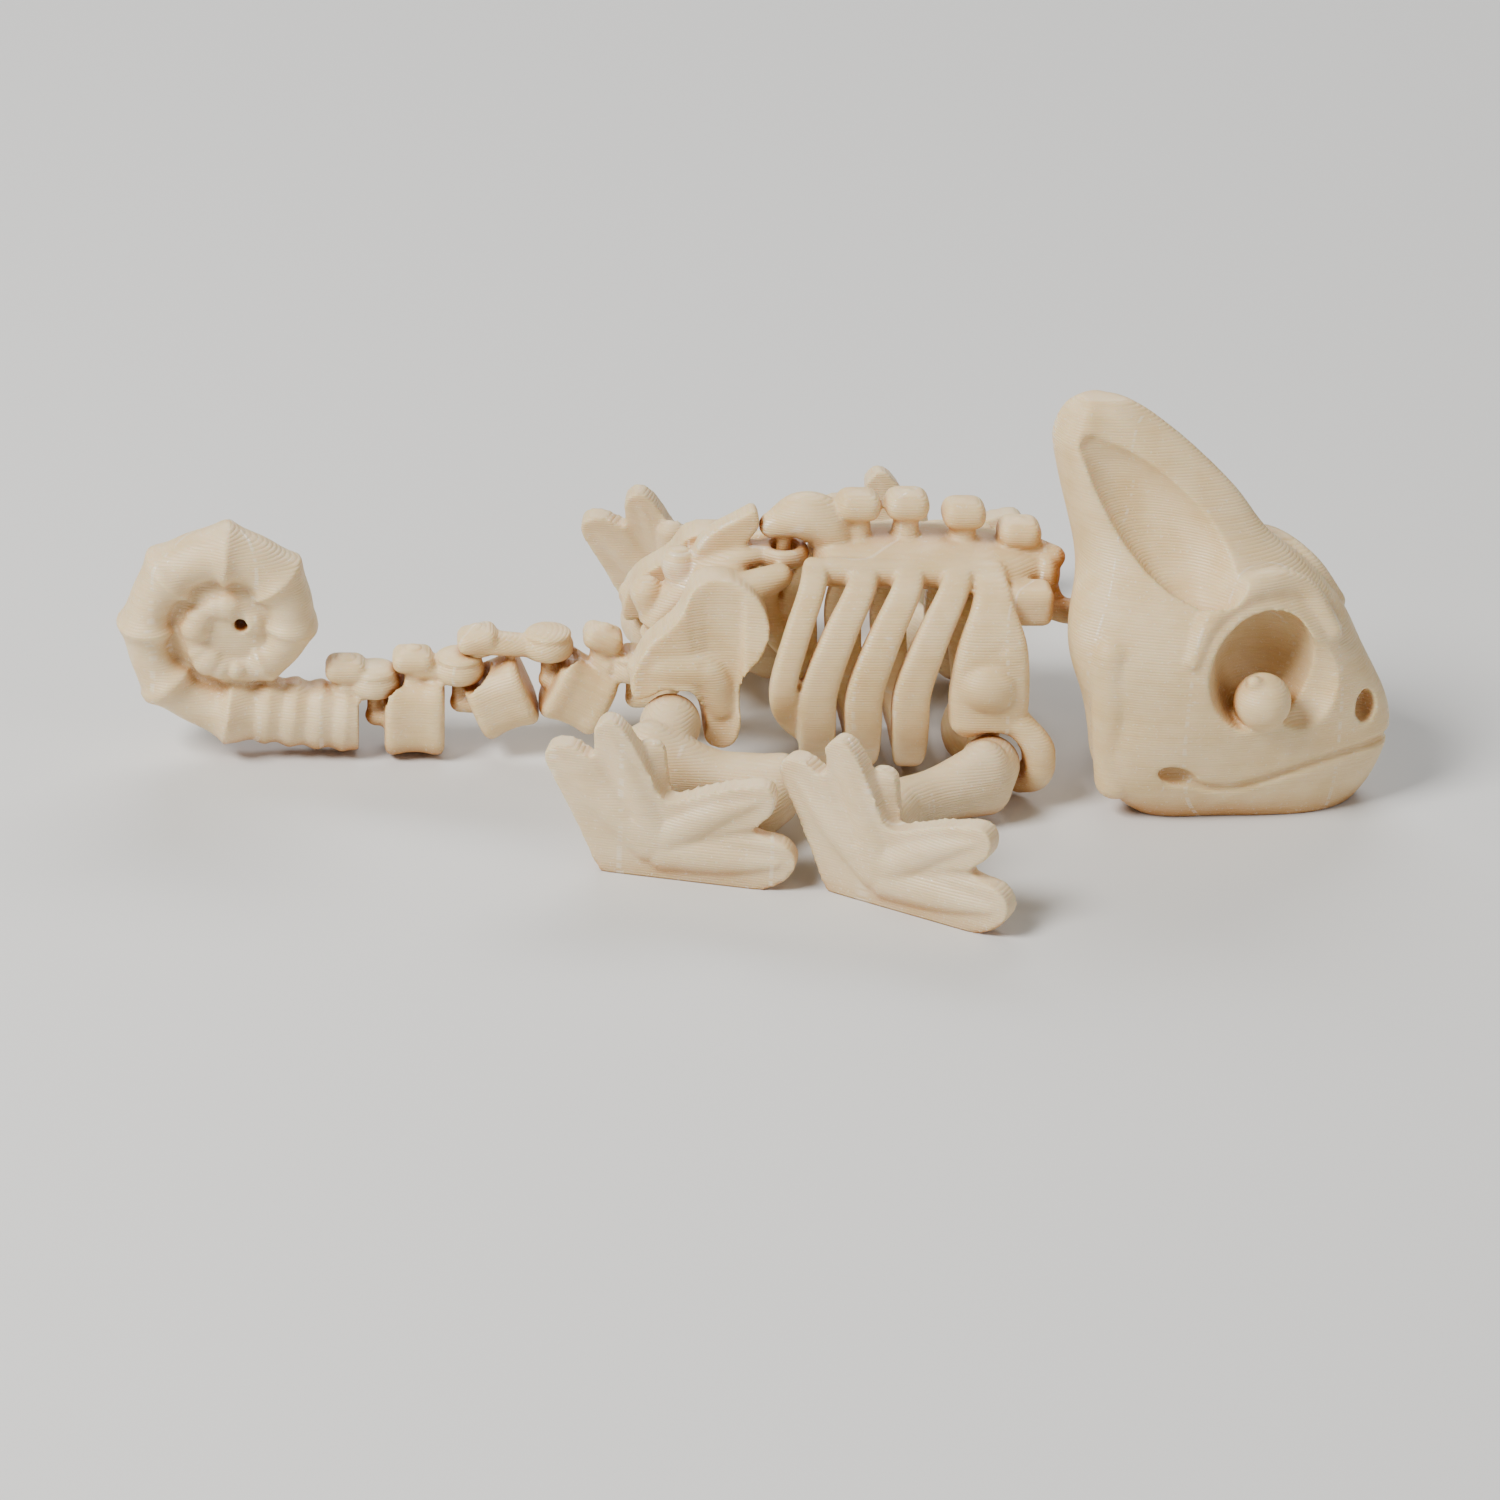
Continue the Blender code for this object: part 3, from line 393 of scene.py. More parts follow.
skull_place = frame_at(SKULL_FOOT, SKULL_YAW)
outwards = skull_place((0, 1, 0)) - skull_place((0, 0, 0))
skull_rows = []
for row in smooth_path([flat_level(level) for level in SKULL_LEVELS], 5):
    level = full_level(row)
    skull_rows.append([skull_place((forward, out, level[0])) for forward, out in outline(level)])
skull_pieces = [skin_rows("skull", skull_rows)]
skull_cutters = [ball(skull_place(NECK_BALL), NECK_BALL_RADIUS + JOINT_CLEARANCE)]
skull_eyes = []
for side in (1, -1):

    def skull_at(forward, out, up, *half):
        return (*skull_place((forward, side * out, up)), *half)

    def on_side(forward, up, sunk, *half):
        return skull_at(forward, skull_side(forward, up) - sunk, up, *half)

    skull_pieces.append(tube([on_side(forward, up, half * 0.45, half) for forward, up, half in BROW]))
    skull_pieces.append(tube([on_side(forward, up, 1.0, 1.5) for forward, up in CHEEK], up=(0, 1, 0)))
    orbit_deep = skull_at(ORBIT[0], ORBIT_FLOOR + 2.0, ORBIT[1], ORBIT_HALF[1] * 0.85, ORBIT_HALF[0] * 0.9)
    orbit_rim = skull_at(ORBIT[0], 12.0, ORBIT[1], ORBIT_HALF[1] * 1.05, ORBIT_HALF[0] * 1.05)
    along = skull_place((1, 0, 0)) - skull_place((0, 0, 0))
    skull_cutters.append(tube([orbit_deep, orbit_rim], up=along, sides=36))
    skull_cutters.append(ball(on_side(16.9, 11.4, -0.5), (3.1, 2.2, 3.9), SKULL_YAW + side * 20))
    skull_cutters.append(ball(on_side(21.0, 8.3, 0.2), (0.95, 1.5, 1.25), SKULL_YAW + side * 32))
    trough = [on_side(forward, up, -0.6, *half) for forward, up, *half in TROUGH]
    skull_cutters.append(tube(trough, up=outwards, sides=28))
    groove = [on_side(forward, up, 0.0, *MOUTH_HALF) for forward, up in MOUTH]
    skull_cutters.append(tube([*groove, skull_at(23.2, 0.0, 5.3, *MOUTH_HALF)], sides=14))
    skull_cutters.append(ball(on_side(8.2, 4.1, 0.1), (1.7, 1.0, 0.75), SKULL_YAW, 18.0))
    skull_eyes.append(ball(skull_at(*EYE), EYE_RADIUS))
    skull_eyes.append(ball(skull_at(EYE[0] - 0.7, EYE[1] + 0.9, EYE[2] + 1.75), 0.6))
    skull_eyes.append(tube([skull_at(*EYE, 1.2), skull_at(EYE[0], ORBIT_FLOOR, EYE[2] - 1.6, 1.5)]))
skull = printed("skull_print", skull_pieces, skull_cutters, skull_eyes, grid=0.2, rounding=5)
cream = filament("cream_filament")
finish_piece(skull, "head", ("skull", "eye_right", "eye_left"), cream)

# Rib cage and spine
# One print: a vaulted back with mushroom knobs, four flat ribs and a shoulder plate on each side, of which
# three ribs close under the belly, an overhead hook with the waist post, and the neck post with its ball.
WAIST = (1.8, 16.2)
POST_RADIUS = 0.55
SHOULDER = (16.6, -9.4, 3.6)
LIMB_BALL_RADIUS = 2.25
SPINE_HEIGHT = 16.3
BACK = [
    (5.4, 0, SPINE_HEIGHT - 0.2, 4.2, 1.5), (12, 0, SPINE_HEIGHT - 0.1, 4.3, 1.55), (17.2, 0, 15.8, 4.2, 1.5),
    (20.2, 0, 15.0, 2.4, 1.7),
]
KNOBS = [(7.1, 21.1), (10.65, 21.2), (14.85, 20.5), (19.0, 19.0)]
HOOK = [(5.6, 0, 17.0, 1.6), (4.5, 0, 18.7, 1.85), (2.8, 0, 19.1, 1.75), (0.9, 0, 18.4, 1.0)]
RIBS = [4.05, 7.4, 10.85]
RIB_HALF_THICK = 0.85
# out, up, lean forward and half width
RIB_LOOP = [
    (3.3, 16.2, 3.5, 1.05), (5.5, 15.4, 2.8, 1.1), (7.3, 12.8, 1.3, 1.22), (8.0, 9.0, 0.0, 1.38),
    (7.7, 6.0, 0.0, 1.38), (6.4, 3.5, 0.2, 1.28), (4.5, 1.9, 0.4, 1.1), (2.2, 1.3, 0.5, 0.95),
    (0.0, 1.2, 0.5, 0.95),
]


def block(middle, size, pitch=0.0, edge=0.0):
    """A box, with rounded edges where edge is given. The pitch lowers its +X end."""
    shape = bmesh.new()
    bmesh.ops.create_cube(shape, size=1.0)
    bmesh.ops.transform(shape, matrix=Matrix.Diagonal((*size, 1.0)), verts=shape.verts)
    if edge:
        bmesh.ops.bevel(shape, geom=shape.edges[:], offset=edge, segments=4, profile=0.5, affect="EDGES")
    place = Matrix.Translation(middle) @ Matrix.Rotation(math.radians(pitch), 4, "Y")
    bmesh.ops.transform(shape, matrix=place, verts=shape.verts)
    return mesh_object("block", shape)


def mushroom(forward, top, half, foot, lean=0.0):
    """A flat-topped knob on a short waisted neck."""
    cap = block((forward, 0, top - half[2]), (2 * half[0], 2 * half[1], 2 * half[2]), lean, half[2] * 0.9)
    neck = [(forward, 0, foot, 1.4), (forward, 0, (foot + top) / 2, 0.95), (forward, 0, top - half[2], 1.15)]
    return [cap, tube(neck, up=(0, 1, 0))]


def strip(stations):
    """A flat strip: each station's half sizes are along X and through the strip."""
    turned = [(x, y, z, thick, wide) for x, y, z, wide, thick in stations]
    return tube(turned, up=(1, 0, 0), sides=24, corner=4.0)


torso_pieces = [tube(BACK), ball((21.0, -0.3, 15.0), (1.2, 2.4, 1.9))]
for forward, top in KNOBS:
    torso_pieces += mushroom(forward, top, (1.62, 1.55, 1.05), SPINE_HEIGHT)
torso_pieces.append(tube(HOOK))
torso_pieces.append(tube([(WAIST[0], 0, 18.8, POST_RADIUS), (WAIST[0], 0, 15.2, POST_RADIUS)], up=(0, 1, 0)))
neck_ball = skull_place(NECK_BALL)
post_foot = skull_place((NECK_BALL[0] - 3.3, 0, NECK_BALL[2]))
torso_pieces.append(ball(neck_ball, NECK_BALL_RADIUS))
torso_pieces.append(tube([(*neck_ball, 1.0), (*post_foot, 1.0), (20.4, -0.2, 14.2, 1.6)]))
torso_pieces.append(tube([(19.8, 0, 16.4, 1.2), (21.6, -0.6, 16.2, 0.9)]))
torso_cutters = []
for side in (1, -1):

    def mirror(stations):
        return [(row[0], side * row[1], *row[2:]) for row in stations]

    for forward in RIBS:
        rib = [(forward + lean, -out, up, half, RIB_HALF_THICK) for out, up, lean, half in RIB_LOOP]
        torso_pieces.append(strip(mirror(rib)))
    first = [(3.9, -3.3, 16.4, 0.97, 0.85), (3.4, -5.5, 15.5, 0.97, 0.85), (2.3, -7.3, 12.8, 0.97, 0.85)]
    first += [(1.4, -8.0, 9.0, 0.97, 0.85), (2.1, -7.1, 6.4, 0.9, 0.8), (4.2, -6.2, 4.3, 0.8, 0.8)]
    torso_pieces.append(strip(mirror(first)))
    torso_pieces.append(tube(mirror([(4.9, -3.4, 16.2, 1.0, 1.1), (17.0, -3.4, 15.9, 1.0, 1.1)])))
    plate = [(16.6, -3.6, 15.9, 1.1, 0.9), (16.5, -6.0, 14.8, 1.5, 1.0), (16.5, -7.6, 12.4, 2.5, 1.1)]
    plate += [(16.4, -8.1, 9.0, 2.9, 1.3), (16.4, -8.2, 6.6, 2.8, 1.4)]
    torso_pieces.append(strip(mirror(plate)))
    torso_pieces.append(ball((16.2, side * -8.8, 9.5), (2.1, 1.4, 1.9)))
    torso_pieces.append(block((19.4, side * -4.4, 14.3), (3.4, 3.0, 2.9), 0.0, 0.7))
    lip = [(18.6, -8.6, 6.6, 1.1), (20.1, -8.9, 4.6, 1.3), (20.1, -8.6, 2.6, 1.3), (19.2, -7.4, 1.5, 1.1)]
    brace = [(19.2, -7.0, 1.5, 1.1), (16.6, -4.4, 1.6, 1.1), (15.4, -2.0, 1.3, 0.9), (15.2, 0.0, 1.2, 0.9)]
    backing = [(16.5, -6.4, 8.0, 1.6), (16.6, -5.4, 4.0, 1.2), (16.6, -4.4, 1.7, 1.1)]
    torso_pieces += [tube(mirror(lip)), tube(mirror(brace)), tube(mirror(backing), up=(1, 0, 0))]
    socket = (SHOULDER[0], side * SHOULDER[1], SHOULDER[2])
    torso_cutters.append(ball(socket, LIMB_BALL_RADIUS + JOINT_CLEARANCE))
    torso_cutters.append(ball((17.0, side * -9.5, 13.0), (1.3, 1.0, 1.2)))
torso = printed("rib_cage_print", torso_pieces, torso_cutters)
finish_piece(torso, "torso", ("spine", "ribs_right", "ribs_left"), cream)

# Pelvis
# One print: two saddle-shaped hip blades on a short column with a fin and two knobs, a flat ring that turns
# on the waist post in front, and a lug with the first tail post behind.
HIP = (-6.6, -8.0, 6.2)
RING_RADIUS = 1.4
RING_HALF = (0.5, 0.8)
TAIL_HINGES = {"pelvis": (-8.9, 6.9), "tail_3": (-15.2, 8.6), "tail_2": (-21.7, 6.7), "tail_1": (-27.9, 5.6)}
# forward and up
FIN = [
    (-4.6, 15.6), (-4.4, 17.2), (-3.4, 18.2), (-1.9, 19.1), (-0.5, 19.8), (-0.1, 18.6), (-0.9, 17.3),
    (-1.4, 15.8),
]
BLADE = [
    (-5.0, 16.0), (-6.2, 13.9), (-8.4, 12.0), (-9.4, 10.0), (-9.3, 8.2), (-7.6, 8.4), (-5.2, 8.7), (-4.4, 6.8),
    (-4.0, 4.8), (-2.9, 4.2), (-1.9, 4.6), (-1.5, 6.0), (-1.6, 8.2), (-1.3, 9.9), (-0.1, 11.4), (0.4, 13.4),
    (-0.6, 15.4), (-2.8, 16.4),
]


def ring(hinge):
    """A level ring around a hinge's post."""
    rows = []
    for turn in np.linspace(0, 2 * math.pi, 36, endpoint=False):
        row = []
        for side in np.linspace(0, 2 * math.pi, 14, endpoint=False):
            reach = RING_RADIUS + RING_HALF[0] * math.cos(side)
            at = (reach * math.cos(turn), reach * math.sin(turn), RING_HALF[1] * math.sin(side))
            row.append(Vector((hinge[0], 0, hinge[1])) + Vector(at))
        rows.append(row)
    return skin_rows("ring", rows, closed=True)


def cylinder(middle, radius, height):
    shape = bmesh.new()
    place = Matrix.Translation(middle)
    bmesh.ops.create_cone(
        shape, cap_ends=True, segments=36, radius1=radius, radius2=radius, depth=height, matrix=place
    )
    return mesh_object("cylinder", shape)


def ring_bore(hinge):
    return cylinder((hinge[0], 0, hinge[1]), POST_RADIUS + JOINT_CLEARANCE, 3.0)


def ring_cap(hinge):
    """The domed lid of a ring, which hides the post."""
    return ball((hinge[0], 0, hinge[1] + 1.0), (1.75, 1.75, 0.5))


def hinge_post(hinge, foot):
    """A round-topped post that ends under the lid of the ring around it."""
    top = (hinge[0], 0, hinge[1] - 0.35, POST_RADIUS)
    return tube([(hinge[0], 0, foot, POST_RADIUS), top], up=(0, 1, 0))


def ring_pocket(hinge):
    """The room that a neighbour's ring turns in."""
    outer = RING_RADIUS + RING_HALF[0] + JOINT_CLEARANCE
    return cylinder((hinge[0], 0, hinge[1]), outer, 2 * (RING_HALF[1] + JOINT_CLEARANCE))


def plate_of(loop, place, half_thick):
    """A flat plate with a smooth closed outline; place takes (along, through, up)."""
    steps = 5
    points = smooth_path([loop[-1], *loop, *loop[:2]], steps)[steps : -steps - 1]
    shape = bmesh.new()
    near = [shape.verts.new(place((along, -half_thick, up))) for along, up in points]
    far = [shape.verts.new(place((along, half_thick, up))) for along, up in points]
    for n in range(len(points)):
        after = (n + 1) % len(points)
        shape.faces.new((near[n], near[after], far[after], far[n]))
    shape.faces.new(near[::-1])
    shape.faces.new(far)
    bmesh.ops.triangulate(shape, faces=[face for face in shape.faces if len(face.verts) > 4])
    bmesh.ops.recalc_face_normals(shape, faces=shape.faces)
    return mesh_object("plate", shape)


pelvis_pieces = [ring(WAIST)]
pelvis_pieces.append(tube([(0.5, 0, 16.2, 1.1, 0.8), (-1.5, 0, 15.9, 1.8, 1.2), (-3.6, 0, 14.6, 2.2, 1.8)]))
column = [(-3.4, 0, 14.8, 2.0, 1.6), (-5.4, 0, 12.8, 2.0, 1.7), (-7.2, 0, 10.6, 1.8, 1.5)]
column += [(-6.1, 0, 7.8, 1.6, 1.3), (-6.6, 0, 5.0, 1.3, 1.0), (-8.7, 0, 4.4, 1.0, 0.8)]
pelvis_pieces.append(tube(column))
pelvis_pieces.append(plate_of(FIN, Vector, 0.95))
pelvis_pieces.append(tube([(-5.2, 0, 13.4, 1.3), (-5.8, 0, 15.3, 1.35)], up=(0, 1, 0)))
pelvis_pieces.append(tube([(-7.2, 0, 11.0, 1.2), (-8.1, 0, 13.0, 1.25)], up=(0, 1, 0)))
pelvis_cutters = []
for side in (1, -1):

    def hip_at(forward, out, up):
        return Vector((forward, -side * out, up))

    def on_blade(at):
        forward, through, up = at
        lean = 6.6 - 0.035 * max(up - 8.0, 0.0) ** 2
        return hip_at(forward, lean + through, up)

    pelvis_pieces.append(plate_of(BLADE, on_blade, 1.45))
    pelvis_pieces.append(ball(hip_at(-2.5, 2.8, 14.2), (2.7, 2.6, 1.8)))
    pelvis_pieces.append(tube([(*hip_at(-2.4, 3.9, 14.4), 1.6), (*hip_at(1.3, 2.9, 15.6), 1.0)]))
    pelvis_pieces.append(tube([(*hip_at(-4.0, 1.0, 11.6), 1.7), (*hip_at(-4.4, 5.6, 9.8), 1.6)]))
    rim = [(*hip_at(-8.6, 6.3, 9.9), 1.2), (*hip_at(-7.0, 6.5, 10.1), 1.5), (*hip_at(-4.0, 6.6, 9.6), 1.45)]
    rim.append((*hip_at(-2.9, 6.6, 7.0), 1.3))
    pelvis_pieces.append(tube(rim))
    pelvis_cutters.append(ball(hip_at(HIP[0], -HIP[1], HIP[2]), LIMB_BALL_RADIUS + JOINT_CLEARANCE))
    pelvis_cutters.append(ball(hip_at(-3.4, 9.0, 12.9), (1.7, 2.1, 3.2), 0.0, 24.0))
first_post = TAIL_HINGES["pelvis"]
pelvis_cutters += [ring_bore(WAIST), ring_pocket(first_post)]
pelvis = printed("pelvis_print", pelvis_pieces, pelvis_cutters, [hinge_post(first_post, 4.4)], rounding=7)
finish_piece(pelvis, "hips", ("pelvis",), cream)

# Loose tail links
# Three small prints alike: a spool-shaped vertebra with flared ends, a mushroom knob, an arm with a ring over
# the next link's post, and a lug behind with its own post. Two of them have come to rest tipped.
TAIL_LINKS = {
    "tail_1": ((-24.95, 3.15), 0.0, 4.4, 6.0, (-25.1, 8.3)),
    "tail_2": ((-18.6, 4.6), -23.0, 4.3, 5.3, (-20.4, 10.0)),
    "tail_3": ((-12.9, 5.0), 25.0, 4.5, 5.2, (-11.2, 10.1)),
}


def spool(middle, pitch, length, height, width):
    """A squarish spool along X whose ends flare."""
    turn = Matrix.Rotation(math.radians(pitch), 3, "Y")
    rows = []
    half = [(0.0, 0.93), (0.3, 0.94), (0.6, 0.99), (0.78, 1.0), (0.92, 0.95), (1.0, 0.83)]
    for along, grow in [(-along, grow) for along, grow in half[:0:-1]] + half:
        row = []
        for angle in np.linspace(0, 2 * math.pi, 32, endpoint=False):
            across, rise = math.cos(angle), math.sin(angle)
            square = (abs(across) ** 3.2 + abs(rise) ** 3.2) ** (-1 / 3.2)
            point = (along * length / 2, across * square * grow * width / 2, rise * square * grow * height / 2)
            row.append(Vector(middle) + turn @ Vector(point))
        rows.append(row)
    return skin_rows("spool", rows)


links = (("tail_3", "pelvis"), ("tail_2", "tail_3"), ("tail_1", "tail_2"))
for name, front in links:
    (forward, up), pitch, length, height, (knob_forward, knob_top) = TAIL_LINKS[name]
    front_hinge, back_hinge = TAIL_HINGES[front], TAIL_HINGES[name]
    pieces = [spool((forward, 0, up), pitch, length, height, 5.2)]
    top = up + height / 2 * math.cos(math.radians(pitch))
    pieces += mushroom(knob_forward, knob_top, (1.5, 1.45, 0.8), top - 1.2, pitch * 0.6)
    arm = [(knob_forward + 0.4, 0, front_hinge[1] + 0.3, 1.3, 0.9)]
    arm.append((front_hinge[0] - RING_RADIUS, 0, front_hinge[1], 1.15, RING_HALF[1]))
    pieces += [tube(arm), ring(front_hinge)]
    low = back_hinge[1] - RING_HALF[1] - JOINT_CLEARANCE - 1.5
    pieces.append(tube([(forward - 0.6, 0, low, 1.2, 0.9), (back_hinge[0] + 0.1, 0, low, 0.9, 0.8)]))
    cutters = [ring_pocket(back_hinge), ring_bore(front_hinge)]
    link = printed(name + "_print", pieces, cutters, [hinge_post(back_hinge, low), ring_cap(front_hinge)])
    finish_piece(link, "tail_link_" + name[-1], (name,), filament(name + "_filament", tilt=pitch))

# Coiled tail end
# One print: a straight run with shallow ridges, a knob and a ring at its front, which rolls up into a coil of
# saddle-shaped segments. The inner turn is packed and greyer, with a small hole at its heart.
COIL_MIDDLE = (-38.6, 10.4)
COIL_RADII = [6.7, 5.7, 5.5, 4.5, 2.9, 2.3, 2.0, 1.8]
COIL_THICK = [1.9, 1.65, 1.85, 1.75, 1.6, 1.75, 1.7, 1.3]
COIL_WIDTH = [2.35, 2.4, 2.4, 2.3, 1.9, 1.7, 1.5, 1.2]
COIL_TURNS = 1.7
FLANGES_A_TURN = 8
LAST_STATION = 6.98
coil_rows = smooth_path(list(zip(COIL_RADII, COIL_THICK, COIL_WIDTH)), 24)
coil_path = []
tail_lumps = []
for number, turn in enumerate(np.linspace(0.0, COIL_TURNS, 170)):
    radius, thick, width = coil_rows[round(min(4 * turn, LAST_STATION) * 24)]
    angle = -math.pi / 2 - 2 * math.pi * turn
    flange = (1 - abs(math.sin(math.pi * FLANGES_A_TURN * turn))) ** 2
    grow = 0.95 * flange * min(1.0, (radius / COIL_RADII[0]) ** 1.6)
    across, up = COIL_MIDDLE[0] + radius * math.cos(angle), COIL_MIDDLE[1] + radius * math.sin(angle)
    coil_path.append((across, 0, up, thick + grow, width + grow))
    if turn > 0.95 and number % 6 == 0:
        size = 0.95 + 0.2 * math.sin(2.4 * number)
        tail_lumps += [ball((across, side * (width - 0.2), up), size) for side in (1, -1)]
run = []
for forward in np.arange(-29.6, -38.0, -0.47):
    height = float(np.interp(forward, (-38.0, -35.6, -33.4, -29.6), (3.6, 3.4, 3.1, 2.75)))
    ridge = 0.16 * math.cos(2 * math.pi * (forward + 30.1) / 1.9)
    run.append((forward, 0, height, 2.5 + ridge, 2.55 + ridge))
hinge = TAIL_HINGES["tail_1"]
tail_pieces = [tube([*run, *coil_path], up=(0, 1, 0), steps=1, sides=28)]
tail_pieces += mushroom(-30.0, 7.6, (1.5, 1.45, 0.85), 4.0)
arm = [(-30.0, 0, 5.4, 1.2, 0.9), (hinge[0] - RING_RADIUS, 0, hinge[1], 1.0, RING_HALF[1])]
tail_pieces += [tube(arm), ring(hinge)]
tail_lumps.append(ball((COIL_MIDDLE[0], 0, COIL_MIDDLE[1]), (5.0, 1.9, 5.0)))
blunt = block((-26.4, 0, 2.0), (5.3, 12.0, 5.2))
heart = tube([(-37.5, -5.0, 11.0, 0.5), (-37.5, 5.0, 11.0, 0.5)])
cutters = [blunt, heart, ring_bore(hinge)]
tail = printed("tail_coil_print", tail_pieces + tail_lumps, cutters, [ring_cap(hinge)], rounding=3)
finish_piece(tail, "tail_end", ("tail_base", "tail_coil"), filament("coil_filament", greyed=0.12))

# Legs
# Each leg is one print standing on the edge of its foot: a ball in its socket, a bent limb, and a mitten foot
# of two toes to the back and two to the front. The left ones mirror the right ones, swung outwards.
FOOT_OUTLINE = [
    (4.8, -0.3), (9.8, -0.6), (14.6, -0.3), (17.0, 0.7), (17.9, 2.3), (17.0, 3.7), (14.7, 4.4), (16.0, 5.9),
    (16.2, 7.3), (15.0, 8.1), (11.4, 7.0), (8.5, 6.1), (7.0, 8.6), (5.6, 11.0), (4.3, 11.9), (3.3, 11.0),
    (3.2, 8.8), (1.7, 9.5), (0.3, 9.4), (-0.1, 8.2), (1.3, 5.4), (2.7, 2.6), (3.7, 0.5),
]
TOES = [
    [(7.6, 2.4, 1.7), (4.0, 5.2, 1.3), (1.2, 8.1, 0.55)],
    [(7.8, 3.0, 1.7), (6.0, 7.4, 1.2), (4.4, 10.8, 0.5)],
    [(8.4, 3.0, 1.7), (12.0, 5.4, 1.3), (15.1, 6.9, 0.6)],
    [(8.4, 1.9, 1.7), (13.0, 2.0, 1.5), (16.5, 2.2, 0.8)],
]
GROOVES = [
    [(3.0, 10.2, 0.8), (4.6, 7.2, 0.7), (6.2, 4.6, 0.35)],
    [(16.6, 4.4, 0.8), (13.6, 4.0, 0.65), (10.6, 3.2, 0.35)],
    [(1.4, 5.2, 0.5), (3.6, 3.2, 0.5), (6.0, 1.8, 0.3)],
]
# turned outwards and lifted, in degrees
HIND_LEFT_TURN = (-22.0, 8.0)
FRONT_LEFT_TURN = (-29.0, 0.0)


def foot_pieces(foot, yaw):
    place = frame_at(foot, yaw)
    plane = place((0, 1, 0)) - place((0, 0, 0))
    pieces = [plate_of(FOOT_OUTLINE, place, 0.85)]
    for stations in TOES:
        toe = [(*place((along, 0, up)), half, 0.75 + half * 0.38) for along, up, half in stations]
        pieces.append(tube(toe, up=plane))
    spur = [(*place((7.4, -1.2, 3.0)), 1.6, 1.2), (*place((7.0, -1.4, 8.9)), 1.1, 0.8)]
    return [*pieces, tube(spur, up=plane)]


def toe_grooves(foot, yaw):
    """The grooves between the toes of each pair, on both faces of the foot."""
    place = frame_at(foot, yaw)
    grooves = []
    for stations in GROOVES:
        for face in (1.3, -1.3):
            grooves.append(tube([(*place((along, face, up)), half) for along, up, half in stations]))
    return grooves


def other_side(name, source, pivot, yaw, roll):
    """The mirrored copy of a leg, turned about its own ball; the roll lifts its outer end."""
    mesh = source.data.copy()
    centre = Vector(((pivot[0] - BOX_MIDDLE[0]), (-pivot[1] - BOX_MIDDLE[1]), pivot[2])) * MM
    across = Matrix.Translation((0, -2 * BOX_MIDDLE[1] * MM, 0)) @ Matrix.Diagonal((1, -1, 1, 1))
    turn = Matrix.Rotation(math.radians(yaw), 4, "Z") @ Matrix.Rotation(math.radians(roll), 4, "X")
    mesh.transform(Matrix.Translation(centre) @ turn @ Matrix.Translation(-centre) @ across)
    mesh.flip_normals()
    made = bpy.data.objects.new(name, mesh)
    bpy.context.scene.collection.objects.link(made)
    return made


hind_foot = ((-15.7, -16.9), -14.3)
palm = frame_at(*hind_foot)((8.4, -0.6, 2.8))
thigh = [(-8.2, -10.8, 5.2, 2.3, 2.6), (-4.2, -11.6, 4.0, 1.9, 2.0), (-1.2, -12.2, 3.6, 1.9, 2.3)]
thigh.append((0.9, -12.6, 3.3, 1.8, 2.9))
shin = [(0.7, -12.8, 2.8, 1.9, 2.2), (-1.8, -16.0, 2.6, 1.8, 1.9), (*palm, 1.4, 1.9)]
head = tube([(*HIP, LIMB_BALL_RADIUS), (-7.0, -9.6, 5.8, 2.1)])
leg_filament = filament("leg_filament", greyed=0.22)
foot = foot_pieces(*hind_foot)
boolean(foot[0], foot[1:], "UNION")
boolean(foot[0], toe_grooves(*hind_foot), "DIFFERENCE")
hind = printed("hind_leg_right_print", [tube(thigh), tube(shin), head, foot[0]], rounding=6)
finish_piece(hind, "hind_leg_right", ("leg_hind_right",), leg_filament)
hind_other = other_side("hind_leg_left_print", hind, HIP, *HIND_LEFT_TURN)
finish_piece(hind_other, "hind_leg_left", ("leg_hind_left",), leg_filament)

front_foot = ((0.8, -18.8), -32.2)
palm = frame_at(*front_foot)((8.4, -0.6, 2.8))
upper = [(16.2, -11.0, 3.4, 2.0, 3.0), (12.4, -12.6, 2.8, 1.8, 2.1), (9.4, -14.4, 2.7, 1.9, 2.2)]
lower = [(9.2, -14.8, 2.7, 2.0, 2.2), (8.0, -18.2, 2.6, 1.8, 2.0), (*palm, 1.4, 1.9)]
head = tube([(*SHOULDER, LIMB_BALL_RADIUS), (16.4, -10.6, 3.6, 2.1)])
foot = foot_pieces(*front_foot)
boolean(foot[0], foot[1:], "UNION")
boolean(foot[0], toe_grooves(*front_foot), "DIFFERENCE")
fore = printed("front_leg_right_print", [tube(upper), tube(lower), head, foot[0]], rounding=6)
finish_piece(fore, "front_leg_right", ("leg_front_right",), leg_filament)
fore_other = other_side("front_leg_left_print", fore, SHOULDER, *FRONT_LEFT_TURN)
finish_piece(fore_other, "front_leg_left", ("leg_front_left",), leg_filament)

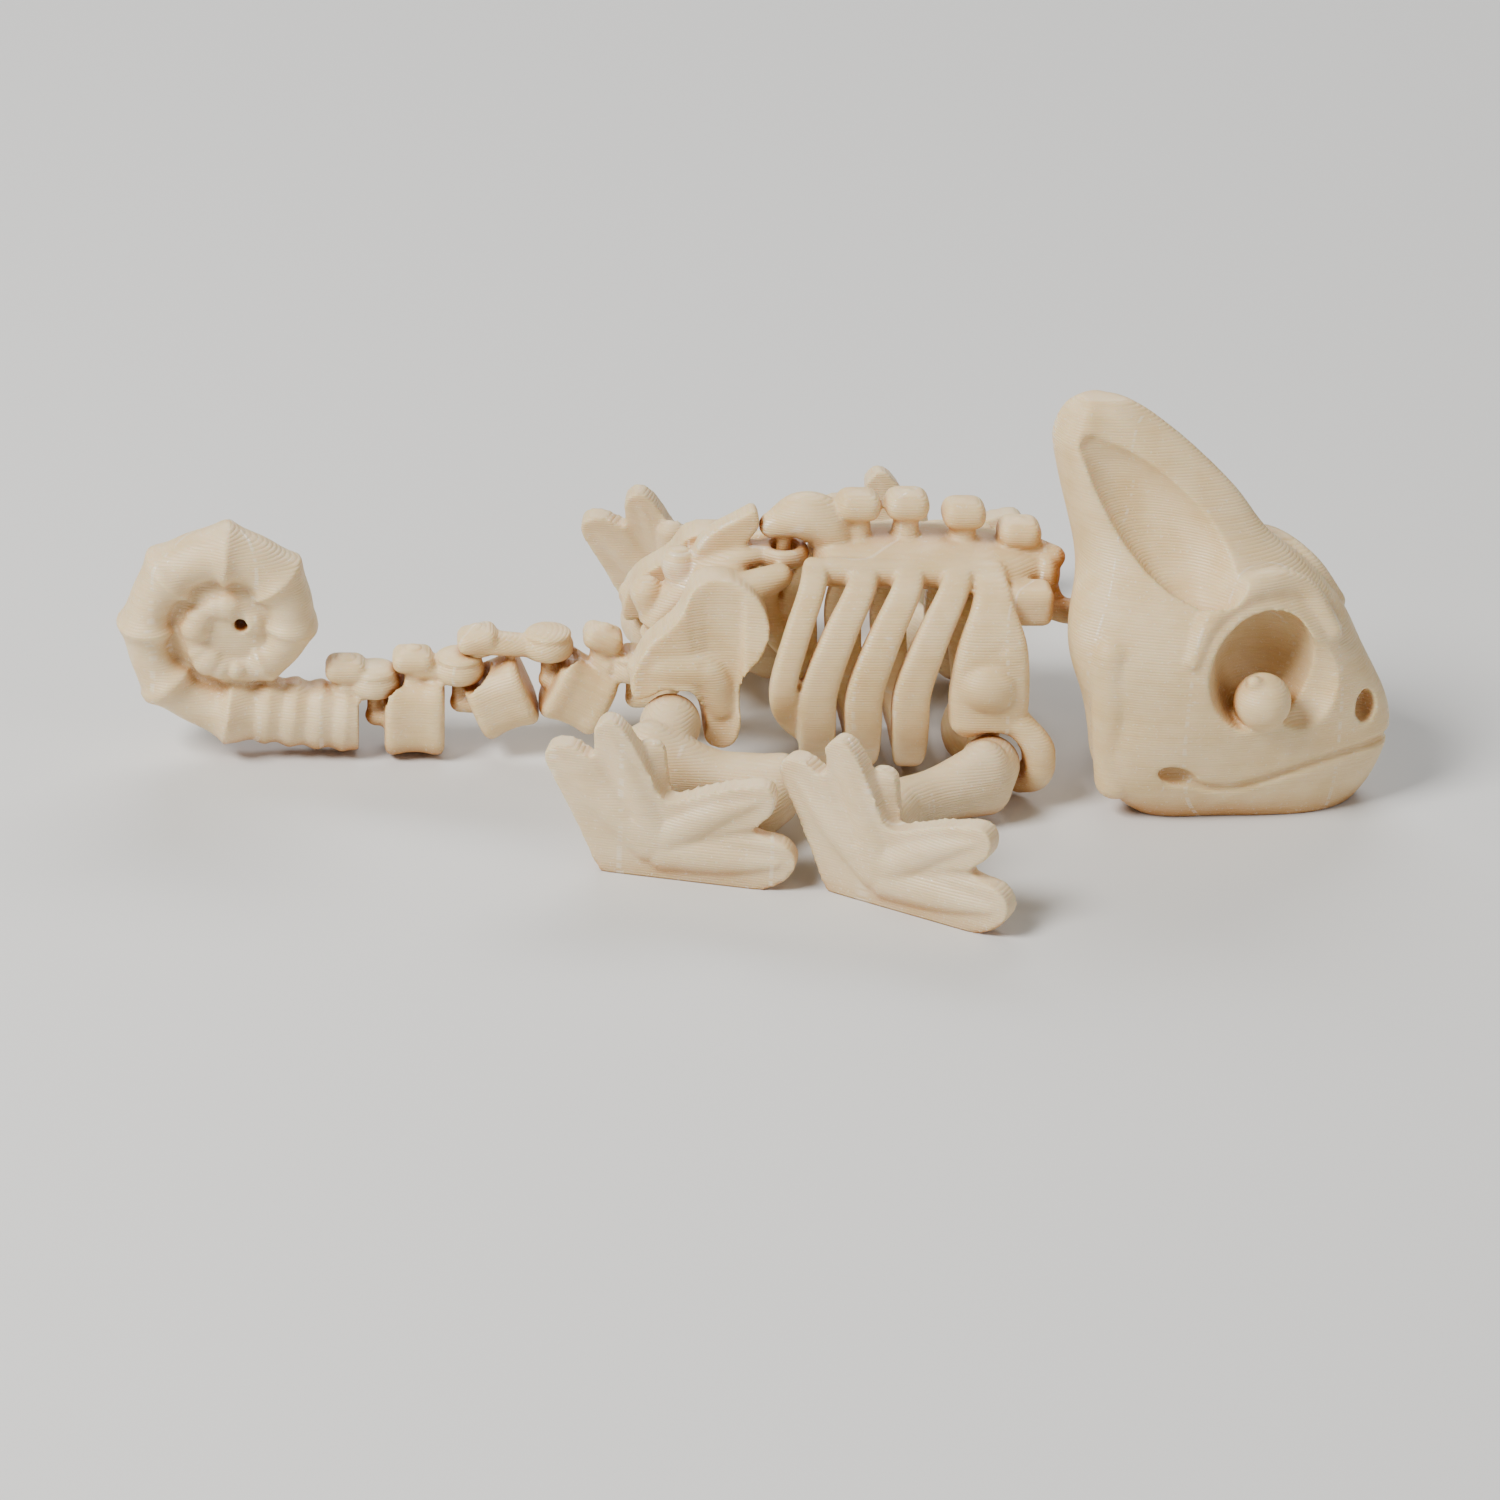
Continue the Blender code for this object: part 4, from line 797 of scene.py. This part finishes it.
# Studio
# A pale sheet under and behind the toy, with a large soft light to the left, a weaker one to the right and
# a strip behind, and the camera of the photograph.
HAIR = 0.00003
CAMERA_DISTANCE = 0.322
sheet = bmesh.new()
bmesh.ops.create_grid(sheet, x_segments=1, y_segments=1, size=3.0)
floor = mesh_object("floor", sheet)
floor.location.z = -HAIR
paper = bpy.data.materials.new("pale_paper")
paper.use_nodes = True
paper_skin = paper.node_tree.nodes["Principled BSDF"]
paper_skin.inputs["Base Color"].default_value = (0.72, 0.72, 0.71, 1.0)
paper_skin.inputs["Roughness"].default_value = 0.6
floor.data.materials.append(paper)


def soft_light(name, at, size, power, colour):
    lamp = bpy.data.lights.new(name, "AREA")
    lamp.shape = "RECTANGLE"
    lamp.size, lamp.size_y = size
    lamp.energy = power
    lamp.color = colour
    made = bpy.data.objects.new(name, lamp)
    bpy.context.scene.collection.objects.link(made)
    made.location = at
    made.rotation_euler = (Vector((0, 0, 0.01)) - Vector(at)).to_track_quat("-Z", "Y").to_euler()


soft_light("key", (-0.34, -0.20, 0.42), (0.20, 0.20), 4.8, (1.0, 0.98, 0.95))
soft_light("fill", (0.42, -0.30, 0.22), (0.30, 0.30), 0.6, (1.0, 0.97, 0.93))
soft_light("rim", (0.05, 0.42, 0.34), (0.50, 0.12), 1.6, (1.0, 1.0, 1.0))
world = bpy.data.worlds.new("studio")
world.use_nodes = True
world.node_tree.nodes["Background"].inputs[0].default_value = (1.0, 1.0, 1.0, 1.0)
world.node_tree.nodes["Background"].inputs[1].default_value = 0.15
bpy.context.scene.world = world

azimuth, elevation, roll = math.radians(5.4), math.radians(27.0), math.radians(2.5)
aim = Vector((-BOX_MIDDLE[0], -BOX_MIDDLE[1], 0.0)) * MM
away = Vector((-math.sin(azimuth), -math.cos(azimuth), 0)) * math.cos(elevation)
away.z = math.sin(elevation)
camera = bpy.data.objects.new("camera", bpy.data.cameras.new("camera"))
bpy.context.scene.collection.objects.link(camera)
camera.data.sensor_width = 36.0
camera.data.lens = 103.63
camera.data.clip_start = 0.01
facing = (-away).to_track_quat("-Z", "Y").to_matrix().to_4x4()
camera.matrix_world = Matrix.Translation(aim + away * CAMERA_DISTANCE) @ facing @ Matrix.Rotation(roll, 4, "Z")
bpy.context.scene.camera = camera
